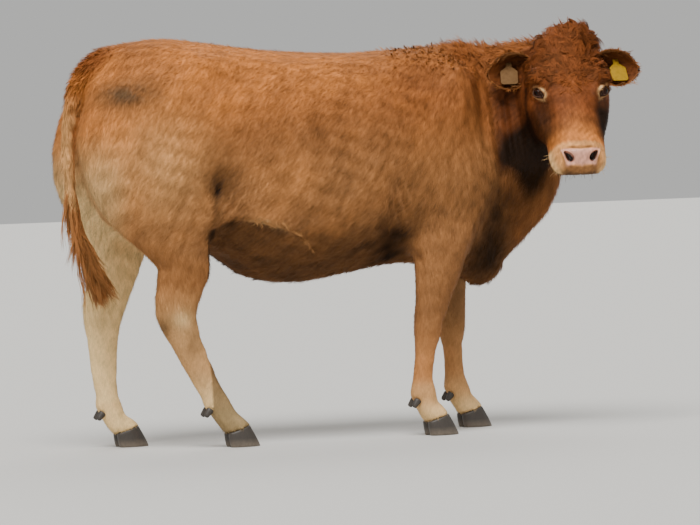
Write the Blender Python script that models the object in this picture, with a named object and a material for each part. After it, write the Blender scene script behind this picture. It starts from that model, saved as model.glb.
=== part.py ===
"""A beef cow of the Limousin type, standing at life size and looking back over its right side.

+X is the way the trunk faces, +Y is the animal's left, +Z is up, and the floor is z = 0.
The outer surface is that of the coat's tips. The flesh is modelled whole: overlapping closed
tubes and ellipsoids are melted into one body by a voxel remesh, the body is pressed into its
finer forms, thinned to few faces and parted into named nodes by thin cuts. Ears, eyes, claws,
dewclaws and ear tags are solids of their own.
"""

import math

import bmesh
import bpy
import numpy as np
from mathutils import Matrix, Vector
from mathutils.bvhtree import BVHTree

# Sizes of the standing animal, in metres.
GAP = 0.0004  # between neighbouring solids
VOXEL = 0.0085  # grain of the melted body
BODY_FACES = 4550  # triangles left in the flesh before it is parted
TUBE_SIDES = 36
SPAN_STEPS = 6  # rings between two stations of a tube

# The head: its frame starts at the poll, with one axis along the face to the muzzle.
POLL = Vector((1.832, -0.266, 1.45))
HEAD_YAW = math.radians(-99)  # from the way the trunk faces, to the animal's right
HEAD_PITCH = math.radians(57)  # of the face line below the horizon
POLL_LEAN = 0.036  # the crown tips over to the left as the head turns
EYE_RADIUS = 0.0195
EYE_SUNK = 0.0125  # of the ball's centre under the lids
EYE_ALONG, EYE_DEPTH = 0.253, -0.05
EAR_LENGTH, EAR_WIDTH, EAR_THICK = 0.18, 0.134, 0.011
TAG_WIDTH, TAG_LENGTH, TAG_THICK = 0.062, 0.096, 0.0022
EAR_ALONG, EAR_DEPTH, EAR_ASIDE = 0.114, -0.078, 0.1

# The feet: two claws on each, on flats at the floor.
CLAW_LENGTH, CLAW_WIDTH = 0.112, 0.052
TOE_HEIGHT, HEEL_HEIGHT = 0.078, 0.046
CLEFT = 0.007
DEWCLAW_RADIUS, DEWCLAW_LENGTH = 0.016, 0.034

# Each leg's joints, from the body down: the pose.
HIND_RIGHT = {
    "hip": (0.255, -0.165, 1.12),
    "thigh": (0.31, -0.185, 0.87),
    "gaskin": (0.402, -0.185, 0.67),
    "hock": (0.381, -0.175, 0.488),
    "fetlock": (0.512, -0.165, 0.165),
    "coronet": (0.585, -0.165, 0.062),
}
HIND_LEFT = {
    "hip": (0.235, 0.165, 1.12),
    "thigh": (0.245, 0.185, 0.87),
    "gaskin": (0.245, 0.185, 0.69),
    "hock": (0.2, 0.178, 0.488),
    "fetlock": (0.2, 0.168, 0.155),
    "coronet": (0.26, 0.168, 0.062),
}
FORE_RIGHT = {
    "shoulder": (1.42, -0.175, 0.95),
    "elbow": (1.372, -0.19, 0.73),
    "forearm": (1.352, -0.185, 0.6),
    "knee": (1.308, -0.175, 0.398),
    "fetlock": (1.284, -0.168, 0.158),
    "coronet": (1.328, -0.168, 0.062),
}
FORE_LEFT = {
    "shoulder": (1.46, 0.175, 0.95),
    "elbow": (1.475, 0.185, 0.73),
    "forearm": (1.497, 0.178, 0.6),
    "knee": (1.508, 0.165, 0.39),
    "fetlock": (1.518, 0.155, 0.155),
    "coronet": (1.566, 0.155, 0.062),
}

# Sections of a leg: place along its joints, half width, reach to the front, reach to the back.
# A place of 2.4 is four tenths of the way from the joint numbered 2 to the next.
HIND_SECTIONS = (
    (0.0, 0.125, 0.19, 0.215),
    (0.55, 0.13, 0.2, 0.222),
    (1.0, 0.112, 0.19, 0.186),
    (1.45, 0.092, 0.145, 0.135),
    (2.0, 0.068, 0.114, 0.1),
    (2.5, 0.055, 0.096, 0.084),
    (3.0, 0.051, 0.075, 0.084),
    (3.3, 0.04, 0.053, 0.066),
    (3.65, 0.035, 0.044, 0.053),
    (3.9, 0.037, 0.041, 0.046),
    (4.0, 0.043, 0.044, 0.05),
    (4.45, 0.042, 0.04, 0.041),
    (5.0, 0.053, 0.046, 0.046),
    (5.25, 0.053, 0.046, 0.046),
)
FORE_SECTIONS = (
    (0.0, 0.1, 0.15, 0.14),
    (0.5, 0.1, 0.15, 0.15),
    (1.0, 0.085, 0.125, 0.128),
    (1.6, 0.07, 0.102, 0.104),
    (2.0, 0.062, 0.09, 0.094),
    (2.55, 0.05, 0.07, 0.068),
    (2.9, 0.05, 0.06, 0.056),
    (3.1, 0.049, 0.056, 0.054),
    (3.35, 0.037, 0.041, 0.041),
    (3.7, 0.034, 0.037, 0.039),
    (3.92, 0.039, 0.042, 0.045),
    (4.05, 0.044, 0.045, 0.049),
    (4.45, 0.043, 0.041, 0.042),
    (5.0, 0.053, 0.046, 0.046),
    (5.25, 0.053, 0.046, 0.046),
)

COAT_CHESTNUT = (0.36, 0.135, 0.05, 1)
COAT_PALE = (0.56, 0.37, 0.22, 1)
HORN_GREY = (0.05, 0.042, 0.036, 1)
EYE_DARK = (0.012, 0.007, 0.005, 1)
TAG_YELLOW = (0.8, 0.62, 0.06, 1)


def clear_scene():
    for thing in list(bpy.data.objects):
        bpy.data.objects.remove(thing)


def finish(name, colour, roughness):
    """A plain finish for one kind of surface."""
    made = bpy.data.materials.new(name)
    made.use_nodes = True
    shader = made.node_tree.nodes["Principled BSDF"]
    shader.inputs["Base Color"].default_value = colour
    shader.inputs["Roughness"].default_value = roughness
    shader.inputs["Metallic"].default_value = 0.0
    return made


# Tubes and ellipsoids


def smooth_rows(rows, steps=SPAN_STEPS):
    """Rows on a smooth curve through every given row of numbers."""
    rows = np.array(rows, float)
    padded = np.vstack([2 * rows[0] - rows[1], rows, 2 * rows[-1] - rows[-2]])
    t = np.linspace(0, 1, steps, endpoint=False)[:, None]
    spans = [
        b + 0.5 * t * (c - a + t * (2 * a - 5 * b + 4 * c - d + t * (3 * (b - c) + d - a)))
        for a, b, c, d in zip(padded, padded[1:], padded[2:], padded[3:])
    ]
    return np.vstack([*spans, rows[-1:]])


def unit(rows):
    return rows / np.linalg.norm(rows, axis=-1, keepdims=True)


def tube(rows, side=None, upright=False):
    """A closed tube as (points, faces). A row holds a centre, half width, reach above, reach
    below and squareness. `side` is the way its width runs, and level if it isn't given.
    Upright rings stand square to the trunk, and the others square to the tube's own line."""
    rows = smooth_rows(rows)
    centres = rows[:, :3]
    ahead = unit(np.gradient(centres, axis=0))
    if upright:
        ahead = np.tile((1.0, 0.0, 0.0), (len(rows), 1))
    sides = np.cross((0, 0, 1), ahead) if side is None else np.tile(side, (len(rows), 1))
    above = unit(np.cross(ahead, sides))
    sides = np.cross(above, ahead)
    turn = np.linspace(0, 2 * math.pi, TUBE_SIDES, endpoint=False)
    across, along = np.cos(turn), np.sin(turn)
    half, up, down, square = (rows[:, i, None] for i in (3, 4, 5, 6))
    wide = half * np.sign(across) * np.abs(across) ** (2 / square)
    tall = np.where(along > 0, up, down) * np.sign(along) * np.abs(along) ** (2 / square)
    rings = centres[:, None] + wide[:, :, None] * sides[:, None] + tall[:, :, None] * above[:, None]
    points = rings.reshape(-1, 3)
    faces = []
    for ring in range(len(rows) - 1):
        start = ring * TUBE_SIDES
        for i in range(TUBE_SIDES):
            j = (i + 1) % TUBE_SIDES
            faces.append((start + i, start + j, start + TUBE_SIDES + j, start + TUBE_SIDES + i))
    last = len(points) - TUBE_SIDES
    faces.append(tuple(reversed(range(TUBE_SIDES))))
    faces.append(tuple(range(last, last + TUBE_SIDES)))
    return points, faces


def ellipsoid(centre, radii, turn=Matrix.Identity(3)):
    """A closed ellipsoid as (points, faces), its radii along the columns of `turn`."""
    mesh = bmesh.new()
    bmesh.ops.create_icosphere(mesh, subdivisions=4, radius=1)
    place = Matrix.Translation(centre) @ turn.to_4x4() @ Matrix.Diagonal((*radii, 1))
    bmesh.ops.transform(mesh, matrix=place, verts=mesh.verts)
    points = np.array([v.co for v in mesh.verts])
    faces = [tuple(v.index for v in f.verts) for f in mesh.faces]
    mesh.free()
    return points, faces


def mesh_object(name, points, faces):
    data = bpy.data.meshes.new(name)
    data.from_pydata([tuple(map(float, p)) for p in points], [], faces)
    mesh = bmesh.new()
    mesh.from_mesh(data)
    bmesh.ops.recalc_face_normals(mesh, faces=mesh.faces)
    mesh.to_mesh(data)
    mesh.free()
    made = bpy.data.objects.new(name, data)
    bpy.context.scene.collection.objects.link(made)
    return made


def joined(name, shells):
    """One object of several closed shells, which may overlap."""
    points, faces = [], []
    for shell_points, shell_faces in shells:
        first = len(points)
        points.extend(shell_points)
        faces.extend(tuple(i + first for i in face) for face in shell_faces)
    return mesh_object(name, points, faces)


def applied(thing):
    """The object with its modifiers worked into its mesh."""
    bpy.context.view_layer.update()
    graph = bpy.context.evaluated_depsgraph_get()
    data = bpy.data.meshes.new_from_object(thing.evaluated_get(graph))
    thing.modifiers.clear()
    thing.data = data
    return thing


# The flesh


def head_frame():
    """The head's own axes as columns: along the face, up from the face, to the animal's left."""
    level = Vector((math.cos(HEAD_YAW), math.sin(HEAD_YAW), 0))
    up = Vector((0, 0, 1))
    along = level * math.cos(HEAD_PITCH) - up * math.sin(HEAD_PITCH)
    above = level * math.sin(HEAD_PITCH) + up * math.cos(HEAD_PITCH)
    return Matrix((along, above, above.cross(along))).transposed()


def on_head(along, above, left):
    return POLL + head_frame() @ Vector((along, above, left))


def trunk_tube():
    """Croup, loin, barrel, chest and brisket. A row: x, topline, widest level, underline,
    half width, squareness."""
    rows = (
        (0.115, 1.3, 1.12, 0.92, 0.11, 2.0),
        (0.15, 1.372, 1.14, 0.85, 0.17, 2.0),
        (0.22, 1.435, 1.18, 0.77, 0.23, 2.1),
        (0.36, 1.465, 1.17, 0.76, 0.272, 2.3),
        (0.52, 1.45, 1.13, 0.705, 0.295, 2.45),
        (0.68, 1.424, 1.06, 0.596, 0.328, 2.4),
        (0.86, 1.405, 1.01, 0.567, 0.36, 2.3),
        (1.06, 1.394, 1.0, 0.594, 0.35, 2.25),
        (1.24, 1.4, 1.03, 0.619, 0.305, 2.25),
        (1.38, 1.405, 1.03, 0.604, 0.27, 2.3),
        (1.5, 1.385, 0.98, 0.555, 0.235, 2.2),
        (1.585, 1.28, 0.9, 0.535, 0.16, 2.1),
        (1.63, 1.12, 0.85, 0.6, 0.09, 2.0),
    )
    return tube(
        [(x, 0, mid, half, top - mid, mid - low, square) for x, top, mid, low, half, square in rows],
        upright=True,
    )


def neck_tube():
    """From the shoulders forward, then round to the right into the back of the head."""
    return tube(
        (
            (1.28, 0, 1.06, 0.21, 0.335, 0.4, 2.2),
            (1.42, 0, 1.07, 0.215, 0.34, 0.44, 2.2),
            (1.55, -0.012, 1.09, 0.182, 0.342, 0.49, 2.05),
            (1.665, -0.045, 1.12, 0.148, 0.328, 0.4, 2.0),
            (1.745, -0.11, 1.17, 0.128, 0.278, 0.28, 2.0),
            (1.793, -0.19, 1.215, 0.125, 0.225, 0.21, 2.0),
            (1.81, -0.27, 1.25, 0.115, 0.17, 0.15, 2.0),
        )
    )


def head_tube():
    """Poll to muzzle. A row: along the face, forehead line, jaw line, half width, squareness."""
    rows = (
        (-0.049, -0.046, -0.15, 0.05, 2.0),
        (-0.023, -0.008, -0.18, 0.08, 2.0),
        (0.03, 0.011, -0.21, 0.115, 2.1),
        (0.1, 0.006, -0.238, 0.147, 2.3),
        (0.18, 0.002, -0.256, 0.156, 2.4),
        (0.26, -0.004, -0.252, 0.155, 2.2),
        (0.34, -0.012, -0.224, 0.137, 2.05),
        (0.415, -0.016, -0.19, 0.114, 2.05),
        (0.47, -0.018, -0.17, 0.102, 2.3),
        (0.522, -0.028, -0.162, 0.098, 2.8),
        (0.557, -0.05, -0.148, 0.083, 2.6),
        (0.573, -0.075, -0.127, 0.05, 2.2),
    )
    frame = head_frame()
    return tube(
        [
            (
                *on_head(along, (top + low) / 2, POLL_LEAN * max(0, 1 - (along + 0.049) / 0.16)),
                half,
                (top - low) / 2,
                (top - low) / 2,
                square,
            )
            for along, top, low, half, square in rows
        ],
        side=frame.col[2],
    )


def tail_tube():
    """The dock over the croup, the hanging tail and the outer shape of its switch."""
    return tube(
        (
            (0.3, 0, 1.395, 0.06, 0.05, 0.05, 2.0),
            (0.21, 0, 1.41, 0.05, 0.045, 0.045, 2.0),
            (0.14, 0, 1.376, 0.043, 0.04, 0.045, 2.0),
            (0.09, 0, 1.3, 0.037, 0.034, 0.036, 2.0),
            (0.063, 0, 1.19, 0.03, 0.028, 0.028, 2.0),
            (0.05, -0.002, 1.06, 0.026, 0.024, 0.025, 2.0),
            (0.054, -0.006, 0.92, 0.023, 0.022, 0.022, 2.0),
            (0.068, -0.014, 0.82, 0.025, 0.026, 0.026, 2.0),
            (0.089, -0.028, 0.735, 0.036, 0.042, 0.042, 2.0),
            (0.11, -0.042, 0.655, 0.038, 0.044, 0.044, 2.0),
            (0.132, -0.055, 0.575, 0.026, 0.03, 0.03, 2.0),
            (0.145, -0.062, 0.53, 0.006, 0.007, 0.007, 2.0),
        ),
        side=(0, 1, 0),
    )


def leg_tube(joints, sections):
    """A leg whose sections sit along the line through its joints."""
    line = smooth_rows(list(joints.values()), steps=20)
    rows = []
    for place, half, front, back in sections:
        at = min(place, len(joints) - 1) * 20
        centre = line[min(int(at), len(line) - 1)]
        if place > len(joints) - 1:
            centre = centre + (place - len(joints) + 1) * (line[-1] - line[-21])
        rows.append((*centre, half, front, back, 2.1))
    return tube(rows, side=(0, 1, 0))


def muscle_forms():
    """Bone points and muscle bellies under the hide, on both sides."""
    forms = []
    for side in (-1, 1):
        forward = 0.04 if side > 0 else 0.0  # the left fore leg stands ahead of the right
        back = -0.04 if side > 0 else 0.0  # and the left hind leg behind the right
        lean = Matrix.Rotation(math.radians(24), 3, "Y")
        forms += [
            ellipsoid((0.49, side * 0.19, 1.325), (0.12, 0.09, 0.08)),  # hook bone
            ellipsoid((0.15, side * 0.11, 1.26), (0.065, 0.06, 0.08)),  # pin bone
            ellipsoid((0.255, side * 0.165, 1.1), (0.225, 0.13, 0.24)),  # upper thigh
            ellipsoid((0.45 + back, side * 0.2, 0.88), (0.12, 0.09, 0.17)),  # stifle
            ellipsoid((1.37, side * 0.17, 1.1), (0.13, 0.11, 0.27), lean),  # shoulder blade
            ellipsoid((1.36 + forward, side * 0.2, 0.9), (0.155, 0.09, 0.16)),  # upper arm
            ellipsoid((1.5, side * 0.14, 0.94), (0.12, 0.11, 0.16)),  # point of shoulder
        ]
        for along, above, left, radii in (
            (0.212, -0.045, 0.106, (0.065, 0.044, 0.052)),  # brow over the eye
            (0.25, -0.165, 0.085, (0.14, 0.085, 0.066)),  # cheek
            (0.5, -0.09, 0.05, (0.045, 0.052, 0.045)),  # upper lip beside the nostril
            (0.507, -0.116, 0.062, (0.061, 0.043, 0.049)),  # corner of the lips
            (0.045, -0.055, 0.068, (0.065, 0.045, 0.045)),  # side of the poll
            (EAR_ALONG, EAR_DEPTH, EAR_ASIDE, (0.036, 0.032, 0.05)),  # root of the ear
        ):
            forms.append(ellipsoid(on_head(along, above, side * left), radii, head_frame()))
    forms.append(ellipsoid((1.57, 0, 0.64), (0.1, 0.085, 0.115)))  # brisket
    forms.append(ellipsoid((0.285, 0, 1.0), (0.165, 0.13, 0.24)))  # between the thighs
    forms.append(ellipsoid((0.38, 0, 0.79), (0.14, 0.11, 0.085)))  # udder of a young cow
    forms.append(ellipsoid(on_head(0.514, -0.157, 0), (0.044, 0.026, 0.055), head_frame()))  # chin
    return forms


def legs():
    return (
        ("hind_right", HIND_RIGHT, HIND_SECTIONS),
        ("hind_left", HIND_LEFT, HIND_SECTIONS),
        ("fore_right", FORE_RIGHT, FORE_SECTIONS),
        ("fore_left", FORE_LEFT, FORE_SECTIONS),
    )


def melted_body():
    """All the flesh as one closed mesh."""
    shells = [trunk_tube(), neck_tube(), head_tube(), tail_tube(), *muscle_forms()]
    shells += [leg_tube(joints, sections) for _, joints, sections in legs()]
    body = joined("flesh", shells)
    melt = body.modifiers.new("melt", "REMESH")
    melt.mode = "VOXEL"
    melt.voxel_size = VOXEL
    return applied(body)


def relaxed(points, edges, weight, rounds):
    """Points drawn towards their neighbours' mean and partly let back, which keeps volume."""
    count = np.bincount(edges.ravel(), minlength=len(points))[:, None]
    for step in range(2 * rounds):
        total = np.zeros_like(points)
        for axis in range(3):
            total[:, axis] = np.bincount(
                edges[:, 0], points[edges[:, 1], axis], len(points)
            ) + np.bincount(edges[:, 1], points[edges[:, 0], axis], len(points))
        share = 0.6 if step % 2 == 0 else -0.54
        points = points + share * weight[:, None] * (total / count - points)
    return points


def melded(points, edges, weight, rounds):
    """Points drawn towards their neighbours' mean, which rounds off creases between muscles."""
    count = np.bincount(edges.ravel(), minlength=len(points))
    pull = (0.7 * weight / count)[:, None]
    for _ in range(rounds):
        total = np.zeros_like(points)
        for axis in range(3):
            total[:, axis] = np.bincount(
                edges[:, 0], points[edges[:, 1], axis], len(points)
            ) + np.bincount(edges[:, 1], points[edges[:, 0], axis], len(points))
        points = points + pull * (total - count[:, None] * points)
    return points


def near(points, centre, radii, turn=None):
    """A soft bump of height 1 at the centre, falling off over the radii."""
    away = points - np.array(centre)
    if turn is not None:
        away = away @ np.array(turn)
    return np.exp(-((away / np.array(radii)) ** 2).sum(1))


def pressed(points):
    """The body with its hollows, folds and facial features pressed in."""
    out = points.copy()
    frame = head_frame()
    for side in (-1, 1):
        dents = (
            ((0.6, side * 0.3, 1.0), (0.1, 0.12, 0.13), (0, -side * 0.028, 0)),  # flank hollow
            ((0.62, side * 0.2, 1.3), (0.12, 0.1, 0.06), (0, 0, -0.012)),  # loin's edge
            ((1.18, side * 0.28, 0.8), (0.04, 0.12, 0.14), (0, -side * 0.03, 0)),  # behind elbow
            ((1.3, side * 0.2, 1.3), (0.16, 0.08, 0.1), (0, -side * 0.012, 0)),  # wither's side
        )
        for centre, radii, shift in dents:
            out += near(points, centre, radii)[:, None] * np.array(shift)
        for along, above, left, radii, shift in (
            (0.34, -0.05, 0.115, (0.06, 0.04, 0.05), (0, 0, -0.012)),  # hollow under the eye
            (0.255, -0.055, 0.145, (0.035, 0.028, 0.03), (0, 0, -0.006)),  # eye socket
            (0.535, -0.056, 0.048, (0.03, 0.018, 0.016), (-0.014, -0.006, -0.004)),  # nostril
            (0.52, -0.122, 0.078, (0.05, 0.012, 0.05), (-0.004, 0, -0.007)),  # line of the mouth
            (0.41, -0.16, 0.08, (0.07, 0.04, 0.04), (0, 0.006, -0.01)),  # bars of the jaw
        ):
            centre = on_head(along, above, side * left)
            push = frame @ Vector((shift[0], shift[1], side * shift[2]))
            out += near(points, centre, radii, frame)[:, None] * np.array(push)
    return out


def soften(body):
    """Blends the melted joins, least on the slender limbs, and presses the finer forms in."""
    data = body.data
    points = np.empty(len(data.vertices) * 3, np.float32)
    data.vertices.foreach_get("co", points)
    points = points.reshape(-1, 3).astype(float)
    edges = np.empty(len(data.edges) * 2, np.int32)
    data.edges.foreach_get("vertices", edges)
    edges = edges.reshape(-1, 2)
    even = np.ones(len(points))
    points = relaxed(points, edges, even, 6)
    height = np.clip((points[:, 2] - 0.6) / 0.2, 0, 1)
    tail = near(points, (0.02, 0, 0.9), (0.06, 0.06, 0.7))
    head = near(points, on_head(0.25, -0.08, 0), (0.33, 0.2, 0.17), head_frame())
    free = height * (1 - np.clip(1.6 * tail, 0, 1)) * (1 - np.clip(2.2 * head, 0, 1))
    points = melded(points, edges, free, 80)
    points = melded(points, edges, 0.8 * np.clip(2 * head, 0, 1), 14)
    points = pressed(points)
    points = relaxed(points, edges, even, 4)
    data.vertices.foreach_set("co", points.astype(np.float32).ravel())
    data.update()
    return points


def thinned(body, points):
    """The body with few faces, more of them to the metre on the head, limbs and tail."""
    face = near(points, on_head(0.35, -0.1, 0), (0.4, 0.2, 0.2), head_frame())
    limb = 0.24 * np.clip((0.8 - points[:, 2]) / 0.3, 0, 1)
    tail = 0.35 * near(points, (0.06, 0, 0.9), (0.08, 0.06, 0.5))
    wanted = np.maximum(np.maximum(0.85 * face, limb), tail)
    group = body.vertex_groups.new(name="detail")
    for level in (0.1, 0.2, 0.3, 0.4, 0.5, 0.6, 0.7, 0.8, 0.9):
        chosen = np.flatnonzero((wanted > level - 0.1) & (wanted <= level))
        group.add(chosen.tolist(), level, "REPLACE")
    thin = body.modifiers.new("thin", "DECIMATE")
    thin.ratio = BODY_FACES / (2 * len(body.data.polygons))
    thin.vertex_group = "detail"
    thin.invert_vertex_group = True
    thin.vertex_group_factor = 1.0
    thin.use_collapse_triangulate = True
    return applied(body)


# Parting the body


def prism(name, outline, start, end, axis):
    """A cutter: the outline in x and z drawn out along y, or for axis "X" in y and z along x."""
    rings = []
    for level in (start, end):
        if axis == "Y":
            rings.append([(x, level, z) for x, z in outline])
        else:
            rings.append([(level, y, z) for y, z in outline])
    count = len(outline)
    faces = [tuple(range(count)), tuple(range(count, 2 * count))]
    faces += [(i, (i + 1) % count, (i + 1) % count + count, i + count) for i in range(count)]
    return mesh_object(name, rings[0] + rings[1], faces)


def wider_outline(outline, by):
    """An outline given in either direction, moved outwards by `by` on every side."""
    points = np.array(outline, float)
    area = np.cross(points, np.roll(points, -1, axis=0)).sum()
    before = unit(points - np.roll(points, 1, axis=0))
    after = unit(np.roll(points, -1, axis=0) - points)
    out = np.array([[0, -1], [1, 0]]) * np.sign(area)
    first, second = before @ out, after @ out
    return points + by * (first + second) / (1 + (first * second).sum(1))[:, None]


def box_place(centre, size, turn):
    return Matrix.Translation(centre) @ turn.to_4x4() @ Matrix.Diagonal((*size, 1))


def block(name, centre, size, turn):
    """A box for cutting with, which is no part of the animal."""
    mesh = bmesh.new()
    bmesh.ops.create_cube(mesh, size=1)
    bmesh.ops.transform(mesh, matrix=box_place(centre, size, turn), verts=mesh.verts)
    return from_bmesh(name, mesh)


def from_bmesh(name, mesh):
    bmesh.ops.recalc_face_normals(mesh, faces=mesh.faces)
    data = bpy.data.meshes.new(name)
    mesh.to_mesh(data)
    mesh.free()
    made = bpy.data.objects.new(name, data)
    bpy.context.scene.collection.objects.link(made)
    return made


def cut(thing, cutter, operation):
    """The object after a Boolean with the cutter."""
    step = thing.modifiers.new("cut", "BOOLEAN")
    step.operation = operation
    step.object = cutter
    return applied(thing)


def copy_of(thing, name):
    made = bpy.data.objects.new(name, thing.data.copy())
    bpy.context.scene.collection.objects.link(made)
    return made


def largest_part(thing):
    """Drops the crumbs that a cut may leave beside the main piece."""
    mesh = bmesh.new()
    mesh.from_mesh(thing.data)
    todo, parts = set(mesh.verts), []
    while todo:
        front = [todo.pop()]
        found = set(front)
        while front:
            for edge in front.pop().link_edges:
                for vert in edge.verts:
                    if vert in todo:
                        todo.discard(vert)
                        found.add(vert)
                        front.append(vert)
        parts.append(found)
    parts.sort(key=len)
    crumbs = [vert for part in parts[:-1] for vert in part]
    bmesh.ops.delete(mesh, geom=crumbs, context="VERTS")
    mesh.to_mesh(thing.data)
    mesh.free()
    return thing


def parted(body, name, inside, wider):
    """Takes what lies inside a cutter from the body, and leaves a thin gap around it."""
    piece = cut(copy_of(body, name), inside, "INTERSECT")
    cut(body, wider, "DIFFERENCE")
    bpy.data.objects.remove(inside)
    bpy.data.objects.remove(wider)
    return piece


def part_box(body, name, centre, size, turn=Matrix.Identity(3)):
    grown = [side + 2 * GAP for side in size]
    return parted(body, name, block("in", centre, size, turn), block("out", centre, grown, turn))


def part_prism(body, name, outline, start, end, axis):
    grown = wider_outline(outline, GAP)
    inside = prism("in", outline, start, end, axis)
    wider = prism("out", grown, min(start, end) - GAP, max(start, end) + GAP, axis)
    return parted(body, name, inside, wider)


def tilted(axis, degrees):
    return Matrix.Rotation(math.radians(degrees), 3, axis)


def part_tail(body):
    """The tail from its dock to where its long hair begins, and the switch below."""
    dock = ((-0.1, 1.37), (0.02, 1.335), (0.094, 1.24), (0.09, 0.85), (-0.1, 0.85))
    tail = part_prism(body, "tail", dock, -0.055, 0.055, "Y")
    hair = ((-0.1, 0.849), (0.118, 0.849), (0.21, 0.5), (-0.1, 0.5))
    switch = part_prism(body, "tail_switch", hair, -0.14, 0.06, "Y")
    return [tail, switch]


def part_legs(body):
    """Each leg in three lengths: upper leg, shank and foot."""
    pieces = []
    for name, joints, _ in legs():
        side = math.copysign(1, joints["fetlock"][1])
        if name.startswith("hind"):
            outline = ((-0.15, -0.1), (-0.15, 0.87), (0.0, 0.825), (0.75, 0.57), (0.75, -0.1))
            upper = part_prism(body, name + "_thigh", outline, side * 0.03, side * 0.5, "Y")
            middle, shank = Vector(joints["hock"]), "_shank"
        else:
            outline = ((0.02, -0.1), (0.02, 0.47), (0.1, 0.57), (0.4, 0.93), (0.5, 0.93), (0.5, -0.1))
            outline = [(side * y, z) for y, z in outline]
            rear = joints["elbow"][0] - 0.165
            upper = part_prism(body, name + "_arm", outline, rear, rear + 0.5, "X")
            middle, shank = Vector(joints["knee"]), "_shin"
        fetlock = Vector(joints["fetlock"])
        below = Vector((middle.x, middle.y, middle.z - 0.55))
        lower = part_box(upper, name + shank, below, (0.9, 0.4, 1.0))
        below = Vector((fetlock.x, fetlock.y, fetlock.z - 0.47))
        foot = part_box(lower, name + "_foot", below, (0.5, 0.4, 1))
        pieces += [upper, lower, foot]
    return pieces


def part_head(body):
    """The head, cut off from behind the poll to the throat."""
    frame = head_frame()
    turn = frame @ tilted("Z", 49)
    centre = on_head(-0.06, -0.05, 0) + turn @ Vector((0.35, -0.16, 0))
    return part_box(body, "head", centre, (0.7, 0.7, 0.5), turn)


def part_neck(body):
    """The neck, cut off along a line from the withers to the point of the shoulder."""
    turn = tilted("Y", -16.6)
    centre = Vector((1.55, -0.1, 1.085)) + turn @ Vector((0.4, 0, 0))
    return part_box(body, "neck", centre, (0.8, 1.2, 1.4), turn)


def trim_foot(foot, joints):
    """Ends the flesh of a foot at the slanting top of its claws."""
    mesh = bmesh.new()
    mesh.from_mesh(foot.data)
    centre, normal = coronet_plane(joints)
    geometry = mesh.verts[:] + mesh.edges[:] + mesh.faces[:]
    bmesh.ops.bisect_plane(
        mesh, geom=geometry, plane_co=centre + normal * GAP, plane_no=normal, clear_inner=True, dist=1e-6
    )
    rim = [edge for edge in mesh.edges if edge.is_boundary]
    bmesh.ops.holes_fill(mesh, edges=rim, sides=0)
    bmesh.ops.recalc_face_normals(mesh, faces=mesh.faces)
    mesh.to_mesh(foot.data)
    mesh.free()


# Claws, dewclaws, eyes, ears and tags


def coronet_plane(joints):
    """A point on the plane where hoof meets hair, and its normal, which leans to the toe."""
    rise = (TOE_HEIGHT - HEEL_HEIGHT) / CLAW_LENGTH
    middle = Vector(joints["coronet"])
    middle.z = (TOE_HEIGHT + HEEL_HEIGHT) / 2
    return middle, Vector((-rise, 0, 1)).normalized()


def claw(name, joints, side):
    """One horn claw: long and pointed at the floor, shorter at the coronet, flat inside."""
    middle, normal = coronet_plane(joints)
    slope = -normal.x / normal.z
    rings, sides = 4, 14
    points = []
    for ring in range(rings):
        up = ring / (rings - 1)
        length = CLAW_LENGTH * (1.0 - 0.17 * up)
        width = CLAW_WIDTH * (1.0 - 0.04 * up)
        shift = 0.022 * (1 - up)
        for i in range(sides):
            angle = 2 * math.pi * (i + 0.5) / sides
            c, s = math.cos(angle), math.sin(angle)
            forward = 0.5 * length * math.copysign(abs(c) ** 0.8, c) + shift
            toe = max(0.0, c) ** 2
            outward = 0.5 * width * (1 + math.copysign(abs(s) ** 0.7, s) * (1 - 0.5 * toe))
            outward -= 0.14 * width * toe
            height = up * (middle.z + slope * forward)
            points.append((middle.x + forward, middle.y + side * (CLEFT / 2 + outward), height))
    faces = [tuple(reversed(range(sides))), tuple(range((rings - 1) * sides, rings * sides))]
    for ring in range(rings - 1):
        for i in range(sides):
            j, start = (i + 1) % sides, ring * sides
            faces.append((start + i, start + j, start + sides + j, start + sides + i))
    return mesh_object(name, points, faces)


def dewclaw(name, joints, side):
    """A stub of horn on the back of the fetlock."""
    fetlock = Vector(joints["fetlock"])
    mesh = bmesh.new()
    bmesh.ops.create_cone(
        mesh, cap_ends=True, segments=10,
        radius1=DEWCLAW_RADIUS, radius2=DEWCLAW_RADIUS * 0.6, depth=DEWCLAW_LENGTH,
    )
    root = fetlock + Vector((-0.038, side * 0.024, -0.04))
    turn = Vector((-0.6, side * 0.2, -0.77)).to_track_quat("Z", "Y").to_matrix().to_4x4()
    bmesh.ops.transform(mesh, matrix=Matrix.Translation(root) @ turn, verts=mesh.verts)
    return from_bmesh(name, mesh)


def grown(thing, by):
    """A copy whose surface stands `by` metres outside, to cut a neighbour clear of it."""
    swollen = copy_of(thing, "grown")
    mesh = bmesh.new()
    mesh.from_mesh(swollen.data)
    mesh.normal_update()
    moves = [(vert, vert.normal * by) for vert in mesh.verts]
    for vert, move in moves:
        vert.co += move
    mesh.to_mesh(swollen.data)
    mesh.free()
    return swollen


def cut_clear(thing, neighbour):
    """Trims the object back to where its neighbour begins, with a gap."""
    swollen = grown(neighbour, 1.5 * GAP)
    cut(thing, swollen, "DIFFERENCE")
    bpy.data.objects.remove(swollen)
    return largest_part(thing)


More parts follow.
